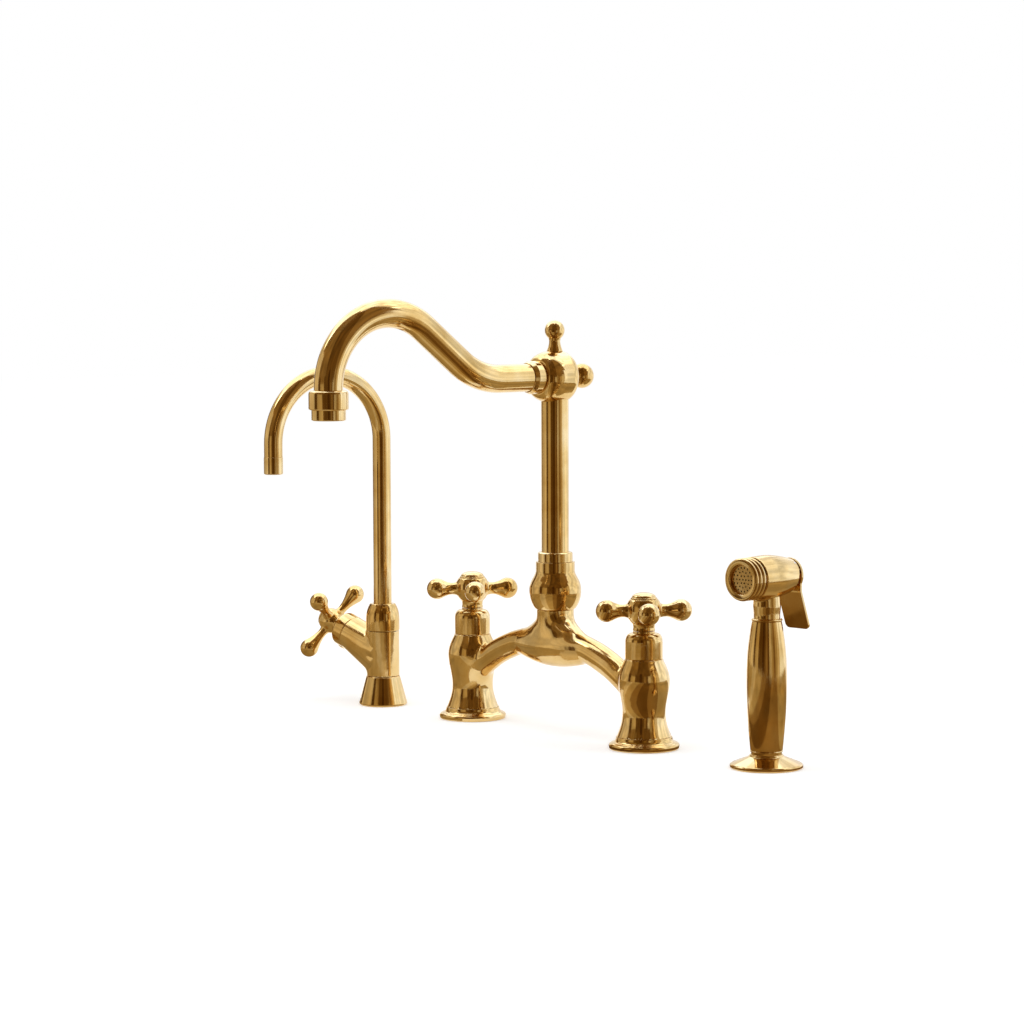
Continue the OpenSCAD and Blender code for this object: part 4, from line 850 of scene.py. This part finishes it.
# ---- the two step outlet
outlet = {
    "t": 208.6,
    "low": 251.88,
    "high": 265.98,
    "r": 14.35,
    "edge": 0.8,
    "shoulder": ((0, 2.6), (0.5, 1.2), (1.6, 0.4)),
    "topFlat": 0.9,
    "bore": 10.45,
    "lipR": 12.3,
    "lipH": 7.6,
    "lipEdge": 0.6,
    "shankR": 11.1,
    "shankH": 5.7,
    "wellR": 9.35,
    "floor": 0.8,
    "jetR": 8.3,
}


def makeOutlet(o):
    points = [(o["r"] - o["edge"], o["low"]), (o["r"], o["low"] + o["edge"])]
    points += [(o["r"] - inwards, o["high"] - down) for inwards, down in o["shoulder"]]
    points += [(o["bore"] + o["topFlat"], o["high"])]
    ring = turn("outletRing", hollow(points, o["bore"]))
    low = o["low"] - o["lipH"]
    shankTop = o["low"] + o["shankH"]
    points = [(o["jetR"], low), (o["lipR"] - o["lipEdge"], low), (o["lipR"], low + o["lipEdge"]), (o["lipR"], o["low"])]
    points += [(o["shankR"], o["low"]), (o["shankR"], shankTop), (o["wellR"], shankTop), (o["wellR"], low + o["floor"])]
    points += [(o["jetR"], low + o["floor"]), (o["jetR"], low)]
    lip = turn("aeratorHousing", points)
    for piece in (ring, lip):
        smoothShade(move(crisp(piece, 0.22, 20), at(0, -o["t"])))
    return ring, lip


outletRing, aeratorHousing = makeOutlet(outlet)
keep(outletRing, turnedBrass, "spout", "polished brass", "outlet_ring")
keep(aeratorHousing, brightBrass, "spout", "bright brass", "aerator_housing")
print("spout made")

# ---- the drinking water tap
tap = {
    "bodyR": 13.3,
    "seam": 23.5,
    "top": 60.0,
    "spare": 4.0,
    "branchR": 13.8,
    "branchL": 36.3,
    "branchZ": 42.8,
    "tilt": 20.0,
    "turn": 10.5,
    "webDrop": 7.4,
    "webFrom": -2.0,
    "webTaper": 0.3,
    "voxel": 0.6,
    # softened most of all under the branch
    "rounds": [(3, None), (170, lambda v: band(v.x, -241, -215, 7) * band(v.z, 0, 50, 7)), (4, None)],
    # the flat under the nut, with the socket for the gooseneck's foot
    "spot": [(7.6, 55.6), (7.6, 59.6), (12.9, 59.6), (13.8, 60.0), (13.8, 80.0)],
    "boss": [(10.5, 59.0), (10.5, 68.0)],
    "foot": [(18.5, 0), (19.4, 1.3), (19.35, 2.0), (13.75, 23.0), (12.7, 23.5)],
}
branchPlace = filterPlace @ turnedBy(tap["turn"], "Z") @ at(0, 0, tap["branchZ"]) @ turnedBy(tap["tilt"] - 90, "Y")
filterValve = branchPlace @ at(0, 0, tap["branchL"])


def makeTapBody(t):
    body = turn("tapBody", solid([(t["bodyR"], t["seam"] - t["spare"]), (t["bodyR"], t["top"] + t["spare"])]), 96)
    move(body, filterPlace)
    branch = turn("branch", solid([(t["branchR"], 0), (t["branchR"], t["branchL"] + t["spare"])]), 96)
    move(branch, branchPlace)
    web = turn("web", solid([(t["branchR"], t["webFrom"]), (t["branchR"] - t["webTaper"], t["branchL"])]), 96)
    lean = math.degrees(math.atan(t["webDrop"] / t["branchL"]))
    move(web, branchPlace @ at(-t["webDrop"], 0, 0) @ turnedBy(lean, "Y"))
    join("tapBody", [body, branch, web])
    cast(body, t["voxel"], t["rounds"])
    cut(body, filterValve.translation / mm, branchPlace.to_3x3() @ Vector((0, 0, 1)))
    cut(body, (0, 0, t["seam"]), (0, 0, -1), 0.35)
    carve(body, move(turn("spot", solid(t["spot"]), 96), filterPlace))
    smoothShade(body, weighted=False)
    boss = smoothShade(move(turn("tapBoss", solid(t["boss"])), filterPlace))
    foot = smoothShade(move(crisp(turn("tapFoot", solid(t["foot"])), 0.35, 12), filterPlace))
    return body, boss, foot


for piece in makeTapBody(tap):
    keep(piece, castBrass if piece.name == "tapBody" else turnedBrass, "deck", "polished brass", "filter_body")

filterNut = {
    "edge": [(13.0, 60.1), (13.5, 60.6), (13.5, 63.0)],
    "r": 13.5,
    "low": 64.0,
    "topR": 10.1,
    "top": 81.8,
    "bore": 7.3,
}


def tapNutProfile(n):
    return hollow(
        n["edge"] + [(mix(n["topR"], n["r"], fall(t * t)), mix(n["low"], n["top"], t)) for t in steps(20)], n["bore"]
    )


tapNut = move(crisp(turn("tapNut", tapNutProfile(filterNut)), 0.25), filterPlace)
keep(smoothShade(tapNut), turnedBrass, "deck", "polished brass", "filter_nut")
for piece, body, metal, slotName, node in (
    (bonnetPiece("tapBonnet", filterBonnet), "deck", turnedBrass, "polished brass", "filter_bonnet"),
    (makeHandle("tapHandle", filterHandle), "filter_tap", castBrass, "polished brass", "filter_handle"),
    (makeCap("tapCap", filterHandle), "filter_tap", brightBrass, "bright brass", "filter_cap"),
):
    keep(move(piece, filterValve), metal, body, slotName, node)

gooseneck = {"r": 7.25, "low": 55.9, "bendZ": 214.0, "bendR": 52.5, "end": 10.0}
nozzle = {"r": 7.5, "low": 190.6, "edge": 0.6, "top": 204.0, "spigotR": 6.2, "spigotTop": 210.0, "bore": 4.0}


def makeGooseneck(g):
    legs = [("straight", g["bendZ"] - g["low"]), ("bend", g["bendR"], -180), ("straight", g["end"])]
    return move(sweep("gooseTube", g["r"], (0, g["low"]), 90, legs), filterPlace)


def makeNozzle(n):
    points = [(n["r"] - n["edge"], n["low"]), (n["r"], n["low"] + n["edge"]), (n["r"], n["top"])]
    points += [(n["spigotR"], n["top"]), (n["spigotR"], n["spigotTop"])]
    end = filterPlace @ at(0, -2 * gooseneck["bendR"])
    return move(crisp(turn("nozzle", hollow(points, n["bore"])), 0.2), end)


gooseTube = makeGooseneck(gooseneck)
keep(smoothShade(crisp(gooseTube, 0.3)), tubeBrass, "gooseneck", "polished brass", "filter_spout")
keep(smoothShade(makeNozzle(nozzle)), brightBrass, "gooseneck", "bright brass", "filter_nozzle")
print("drinking water tap made")

# ---- the hand spray in its holder
holder = {
    "r": 25.9,
    "round": 0.8,
    "edge": 3.2,
    "height": 9.8,
    "rimR": 12.4,
    "rimH": 1.4,
    "rimIn": 0.6,
    "socketR": 11.0,
    "shankR": 12.5,
    "shank": 58.0,
    "bore": 9.55,
    "floor": 2.2,
}


def makeHolder(h):
    points = [
        (h["bore"], -h["shank"]),
        (h["shankR"], -h["shank"]),
        (h["shankR"], 0),
        (h["r"] - h["round"], 0),
        (h["r"], h["round"]),
        (h["r"], h["edge"] - h["round"]),
        (h["r"] - h["round"], h["edge"]),
        (h["rimR"], h["height"] - h["rimH"]),
        (h["rimR"] - h["rimIn"], h["height"]),
        (h["socketR"], h["height"]),
        (h["socketR"], h["floor"]),
        (h["bore"], h["floor"]),
        (h["bore"], -h["shank"]),
    ]
    return move(crisp(turn("sprayHolder", points), 0.3, 14), sprayPlace)


keep(smoothShade(makeHolder(holder)), turnedBrass, "deck", "polished brass", "spray_holder")

ferrule = {
    "stem": [(6.58, -10), (6.58, 3.6), (10.8, 3.6), (10.8, 11.4)],
    "bead": (11.0, 12.0, 0.6),
    "spigot": [(8.45, 12.6), (8.45, 20.6)],
    "bore": 4.0,
}
grip = {
    "low": 12.6,
    "lowR": 11.5,
    "edge": 0.3,
    "edgeH": 0.4,
    "wideR": 14.3,
    "wide": 48.0,
    "topR": 10.5,
    "length": 91.6,
    "bore": 8.5,
}


def ferruleProfile(f):
    return hollow(f["stem"] + arc(*f["bead"], range(-90, 91, 20)) + f["spigot"], f["bore"])


def gripProfile(g):
    low, wideZ, top = g["low"], g["low"] + g["wide"], g["low"] + g["length"]
    points = [(g["lowR"] - g["edge"], low)]
    points += [(mix(g["lowR"], g["wideR"], swell(t)), mix(low + g["edgeH"], wideZ, t)) for t in steps(24)]
    points += [(mix(g["topR"], g["wideR"], fall(t**1.4)), mix(wideZ, top, t)) for t in steps(24, 1)]
    return hollow(points, g["bore"])


sprayFerrule = move(crisp(turn("ferrule", ferruleProfile(ferrule)), 0.15), sprayPlace)
keep(smoothShade(sprayFerrule), brightBrass, "spray", "bright brass", "spray_ferrule")
sprayGrip = crisp(move(turn("grip", gripProfile(grip)), sprayPlace), 0.2)
keep(smoothShade(sprayGrip), turnedBrass, "spray", "polished brass", "spray_grip")

head = {
    "z": 135.2,
    "r": 15.8,
    "widest": 4.0,
    "frontR": 15.3,
    "front": 16.5,
    "rearR": 12.0,
    "rear": 22.6,
    "rearIn": 0.2,
    "rearLean": -10.6,
    "stem": [(9.4, 101.2), (9.4, 109.2), (9.9, 115.2), (9.4, 122.2), (9.4, 135.2)],
    "stemLow": 105.9,
    "voxel": 0.55,
    "rounds": [(2, None), (8, lambda v: 108 < v.z < 126), (1, None)],
    "pinY": 19.6,
    "pinZ": 143.8,
    "slotW": 6.4,
    "slotL": 30.0,
    "slotIn": 2.7,
    "slotUnder": 3.3,
    "spigot": [(8.45, 96.2), (8.45, 104.2), (9.4, 104.2)],
    "spigotBead": (10.1, 105.1, 0.9),
    "spigotBore": 6.3,
    "end": [(13.4, 16.0), (13.4, 23.5)],
    "endBore": 11.0,
}
headFront = sprayPlace @ at(0, 0, head["z"]) @ forward


def makeHead(h):
    points = [(mix(h["rearR"], h["r"], swell(t)), mix(-h["rear"], h["widest"], t)) for t in steps(20)]
    barrel = move(turn("sprayHead", solid(points + [(h["frontR"], h["front"])]), 96), headFront)
    neck = move(turn("neck", solid(h["stem"]), 96), sprayPlace)
    piece = join("sprayHead", [barrel, neck])
    cast(piece, h["voxel"], h["rounds"])
    front = headFront @ Vector((0, 0, h["front"] * mm)) / mm
    cut(piece, front, (headFront.to_3x3() @ Vector((0, 0, 1))).normalized(), 0.5)
    rear = sprayPlace @ (Vector((0, h["rear"] - h["rearIn"], h["pinZ"])) * mm) / mm
    cut(piece, rear, ((sprayPlace @ turnedBy(h["rearLean"], "X")).to_3x3() @ Vector((0, 1, 0))).normalized(), 0.5)
    cut(piece, (0, 0, h["stemLow"]), (0, 0, -1), 0.2)
    # the slot for the lever's ear, open to the rear and the top
    bpy.ops.object.select_all(action="DESELECT")
    bpy.ops.mesh.primitive_cube_add(size=1)
    slot = bpy.context.object
    slot.scale = (h["slotW"] * mm, h["slotL"] * mm, h["slotL"] * mm)
    bpy.ops.object.transform_apply(scale=True)
    half = h["slotL"] / 2
    carve(piece, move(slot, sprayPlace @ at(0, h["pinY"] - h["slotIn"] + half, h["pinZ"] - h["slotUnder"] + half)))
    bead = arc(*h["spigotBead"], range(-90, 91, 15))
    low = move(turn("headSpigot", hollow(h["spigot"] + bead, h["spigotBore"])), sprayPlace)
    end = move(turn("headFrontEnd", hollow(h["end"], h["endBore"]), 96), headFront)
    return smoothShade(piece, weighted=False), smoothShade(low), smoothShade(end)


for piece in makeHead(head):
    keep(piece, castBrass if piece.name == "sprayHead" else turnedBrass, "spray", "polished brass", "spray_head")

ring = {
    "r": 15.2,
    "length": 11.6,
    "gap": 0.3,
    "ribs": 3,
    "groove": 0.2,
    "bore": 13.45,
    "crownIn": 0.5,
    "crownDown": 0.1,
    # radius, and depth from the front
    "rim": [(11.0, 0.5), (10.3, 0.9), (10.3, 2.6), (13.45, 2.6)],
}


def makeFaceRing(f):
    start = head["front"] + f["gap"]
    end = start + f["length"]
    pitch = f["length"] / f["ribs"]
    crown = f["r"] - pitch / 2
    points = [(f["bore"], start), (crown, start)]
    for rib in range(f["ribs"]):
        points += arc(crown, start + pitch * (rib + 0.5), (pitch - f["groove"]) / 2, range(-75, 76, 10))
    points += [(crown - f["crownIn"], end - f["crownDown"])]
    points += [(r, end - depth) for r, depth in f["rim"]]
    return move(turn("faceRing", points + [(f["bore"], start)]), headFront)


keep(smoothShade(makeFaceRing(ring)), brightBrass, "spray", "bright brass", "face_ring")

lever = {
    "y": 23.2,
    "topR": 12.2,
    "halfW": 10.8,
    "thick": 2.2,
    "bend": 11.6,
    "angle": 19.5,
    # the lines that it is bent at, from the highest, each with its share of the angle
    "bends": [(0.9, 0.34), (0.0, 0.33), (-0.9, 0.33)],
    "slack": 0.3,
    "tongue": 27.6,
    "corner": 3.4,
    "earW": 6.0,
    "earR": 2.3,
    "earBore": 1.05,
}


def makeLever(l):
    tip = -l["bend"] - l["tongue"] / math.cos(math.radians(l["angle"]))
    side = math.degrees(math.acos(l["halfW"] / l["topR"]))
    top = arc(0, 0, l["topR"], [mix(-side, 180 + side, t) for t in steps(48)])
    corner = arc(l["corner"] - l["halfW"], tip + l["corner"], l["corner"], range(180, 271, 10))
    outline = top + corner + [(-x, z) for x, z in corner[::-1]]
    piece = drawLine("lever", [(x, 0, z) for x, z in outline])
    bpy.ops.mesh.select_all(action="SELECT")
    bpy.ops.mesh.edge_face_add()
    bpy.ops.mesh.extrude_region_move(TRANSFORM_OT_translate={"value": (0, l["thick"] * mm, 0)})
    bpy.ops.mesh.select_all(action="SELECT")
    bpy.ops.mesh.normals_make_consistent(inside=False)
    for drop, share in reversed(l["bends"]):
        bpy.ops.mesh.select_all(action="SELECT")
        bpy.ops.mesh.bisect(plane_co=(0, 0, (-l["bend"] + drop) * mm), plane_no=(0, 0, 1))
    for drop, share in l["bends"]:
        bpy.ops.mesh.select_all(action="DESELECT")
        leave()
        for vertex in piece.data.vertices:
            vertex.select = vertex.co.z < (-l["bend"] + drop + l["slack"]) * mm
        bpy.ops.object.mode_set(mode="EDIT")
        bpy.ops.transform.rotate(
            value=-math.radians(l["angle"] * share),
            orient_axis="X",
            orient_type="GLOBAL",
            center_override=(0, 0, (-l["bend"] + drop) * mm),
        )
    leave()
    move(crisp(piece, 0.45, 40), sprayPlace @ at(0, l["y"], head["z"]))
    ear = turn("leverEar", hollow([(l["earR"], -l["earW"] / 2), (l["earR"], l["earW"] / 2)], l["earBore"]), 64)
    move(crisp(ear, 0.2), sprayPlace @ at(0, head["pinY"], head["pinZ"]) @ turnedBy(90, "Y"))
    return smoothShade(piece), smoothShade(ear)


for piece in makeLever(lever):
    keep(piece, turnedBrass, "lever", "polished brass", "spray_lever")
print("hand spray made")

# ---- the solid model's own pieces that stay in sight or inside
slotMaterials = {
    "polished brass": turnedBrass,
    "bright brass": brightBrass,
    "bare brass": bareBrass,
    "steel": steel,
    "rubber": rubber,
    "plastic": plastic,
}
slots = {part["node"]: part["material_slot"] for part in frame["record"]["subparts"]}
for name, piece in frame["nodes"].items():
    piece.data.materials.clear()
    piece.data.materials.append(roseBrass if name == "rose_plate" else slotMaterials[slots[name]])

# ---- floor, white backdrop and the cards whose reflections draw the brass
# strengths, an angle, and lengths in millimetres
studio = {
    "floor": 12000,
    "paper": 0.9,
    "white": 1.0,
    "fill": 0.78,
    "glow": 0.3,
    "cameraAt": -39.6,
    "cardsAt": 750,
    "matsTo": 745,
    "hoodLine": [(790, 1), (790, 500), (690, 800), (450, 1050), (120, 1180)],
    "ceiling": 2600,
    "ceilingAt": 1300,
    "ceilingZ": 1250,
    "patch": 200.0,
    "dim": 0.65,
    "bright": 1.35,
}


def seenRays(tree):
    # 1 for camera, mirror and see-through rays, 0 for light that only brightens
    path = tree.nodes.new("ShaderNodeLightPath")
    total = path.outputs["Is Camera Ray"]
    for name in ("Is Glossy Ray", "Is Transmission Ray"):
        more = tree.nodes.new("ShaderNodeMath")
        more.operation = "MAXIMUM"
        tree.links.new(total, more.inputs[0])
        tree.links.new(path.outputs[name], more.inputs[1])
        total = more.outputs["Value"]
    return total


def worldLight(s):
    world = bpy.data.worlds.new("studio")
    scene.world = world
    world.use_nodes = True
    tree = world.node_tree
    tree.nodes.clear()
    background = tree.nodes.new("ShaderNodeBackground")
    out = tree.nodes.new("ShaderNodeOutputWorld")
    background.inputs["Color"].default_value = (1, 1, 1, 1)
    tree.links.new(spread(tree, seenRays(tree), s["fill"], s["white"]), background.inputs["Strength"])
    tree.links.new(background.outputs["Background"], out.inputs["Surface"])


def floorPaper(s):
    material, tree = clearMaterial("floorPaper")
    paper = tree.nodes.new("ShaderNodeBsdfDiffuse")
    paper.inputs["Color"].default_value = (s["paper"], s["paper"], s["paper"], 1)
    glow = tree.nodes.new("ShaderNodeEmission")
    level = tree.nodes.new("ShaderNodeMath")
    level.operation = "MULTIPLY"
    level.inputs[1].default_value = s["glow"]
    tree.links.new(seenRays(tree), level.inputs[0])
    tree.links.new(level.outputs["Value"], glow.inputs["Strength"])
    add = tree.nodes.new("ShaderNodeAddShader")
    out = tree.nodes.new("ShaderNodeOutputMaterial")
    tree.links.new(paper.outputs["BSDF"], add.inputs[0])
    tree.links.new(glow.outputs["Emission"], add.inputs[1])
    tree.links.new(add.outputs["Shader"], out.inputs["Surface"])
    return material


def cardMaterial(name, colour):
    # a card is a little uneven, so that its reflection isn't flat
    material, tree = clearMaterial(name)
    patches = noise(tree, 1000.0 / studio["patch"], 4.0)
    light = tree.nodes.new("ShaderNodeEmission")
    light.inputs["Color"].default_value = (*colour, 1)
    tree.links.new(spread(tree, patches, studio["dim"], studio["bright"], 0.3, 0.7), light.inputs["Strength"])
    out = tree.nodes.new("ShaderNodeOutputMaterial")
    tree.links.new(light.outputs["Emission"], out.inputs["Surface"])
    return material


def plane(name, size):
    bpy.ops.object.select_all(action="DESELECT")
    bpy.ops.mesh.primitive_plane_add(size=size * mm, location=(0, 0, 0))
    piece = bpy.context.object
    piece.name = name
    return piece


def mirrorOnly(piece, material):
    # a card is there for the brass to reflect, and is in nobody's view or light
    piece.data.materials.append(material)
    piece.visible_camera = False
    piece.visible_diffuse = False
    piece.visible_shadow = False


worldLight(studio)
floor = plane("floor", studio["floor"])
floor.data.materials.append(floorPaper(studio))

tones = {
    "black": (0.06, 0.024, 0.004),
    "dark": (0.125, 0.062, 0.014),
    "brown": (0.24, 0.14, 0.045),
    "wall": (0.42, 0.31, 0.15),
    "sand": (0.64, 0.54, 0.38),
    "light": (1.12, 1.18, 1.32),
    "glare": (1.7, 1.85, 2.1),
}
toneMaterials = {name: cardMaterial(name + "Card", colour) for name, colour in tones.items()}
strips = [
    # from and to, in degrees from the camera's side; top in millimetres; tone
    (-145, -128, 420, "dark"),
    (-128, -74, 640, "sand"),
    (-74, -60, 360, "dark"),
    (-60, -37, 300, "wall"),
    (-37, -14, 380, "dark"),
    (-14, -4, 430, "black"),
    (-4, 3, 360, "dark"),
    (3, 12, 300, "brown"),
    (12, 20, 380, "dark"),
    (20, 30, 290, "sand"),
    (30, 37, 340, "wall"),
    (37, 46, 400, "brown"),
    (46, 55, 330, "wall"),
    (55, 66, 420, "sand"),
    (66, 150, 900, "light"),
]
mats = [
    # from and to; how near they come in millimetres; tone
    (-140, -74, 90, "wall"),
    (-74, -45, 30, "sand"),
    (-45, -12, 30, "wall"),
    (-12, 6, 30, "brown"),
    (6, 28, 30, "dark"),
    (28, 52, 30, "brown"),
    (52, 110, 90, "wall"),
]
hoods = [
    # from and to; tone of the dark room above and behind the camera
    (-95, -30, "brown"),
    (-30, 28, "dark"),
    (28, 74, "brown"),
]


def sheet(kind, number, first, last, line, tone):
    # a sheet of card curved round the object, drawn as a line of (radius, height)
    card = drawLine(f"{kind}_{number}", [(r, 0, z) for r, z in line])
    bpy.ops.mesh.select_all(action="SELECT")
    bpy.ops.mesh.spin(steps=last - first, angle=math.radians(last - first), center=(0, 0, 0), axis=(0, 0, -1))
    leave()
    mirrorOnly(move(card, turnedBy(studio["cameraAt"] + first, "Z")), toneMaterials[tone])


for number, (first, last, high, tone) in enumerate(strips):
    sheet("strip", number, first, last, [(studio["cardsAt"], 1), (studio["cardsAt"], high)], tone)
for number, (first, last, near, tone) in enumerate(mats):
    sheet("mat", number, first, last, [(near, 1), (studio["matsTo"], 1)], tone)
for number, (first, last, tone) in enumerate(hoods):
    sheet("hood", number, first, last, studio["hoodLine"], tone)

ceiling = plane("ceiling", studio["ceiling"])
move(ceiling, turnedBy(studio["cameraAt"] + 180, "Z") @ at(studio["ceilingAt"], 0, studio["ceilingZ"]))
mirrorOnly(ceiling, toneMaterials["glare"])

lamps = [
    # name, place and aim in metres, width and height, watts
    ("topBox", (-0.1, -0.3, 1.5), (0, 0, 0.1), (0.7, 0.5), 3.0),
    ("leftBox", (-0.75, -0.65, 0.75), (0, 0, 0.2), (0.22, 0.7), 1.0),
    ("rightBox", (0.75, 0.62, 0.75), (0, 0, 0.2), (0.22, 0.7), 1.0),
]
for name, place, aim, size, power in lamps:
    bpy.ops.object.light_add(type="AREA", location=place)
    light = bpy.context.object
    light.name = name
    light.data.shape = "RECTANGLE"
    light.data.size, light.data.size_y = size
    light.data.energy = power
    light.rotation_euler = (Vector(aim) - Vector(place)).to_track_quat("-Z", "Y").to_euler()

# ---- the camera that took the photo
view = {"place": (1862.8, -1539.8, 366.8), "turn": 51.193, "down": 4.707, "roll": -0.214, "lens": 113.13, "sensor": 36}
bpy.ops.object.camera_add()
camera = bpy.context.object
camera.matrix_world = (
    at(*view["place"]) @ turnedBy(view["turn"], "Z") @ turnedBy(90 - view["down"], "X") @ turnedBy(view["roll"], "Z")
)
camera.data.lens = view["lens"]
camera.data.sensor_width = view["sensor"]
scene.camera = camera
print("studio made")
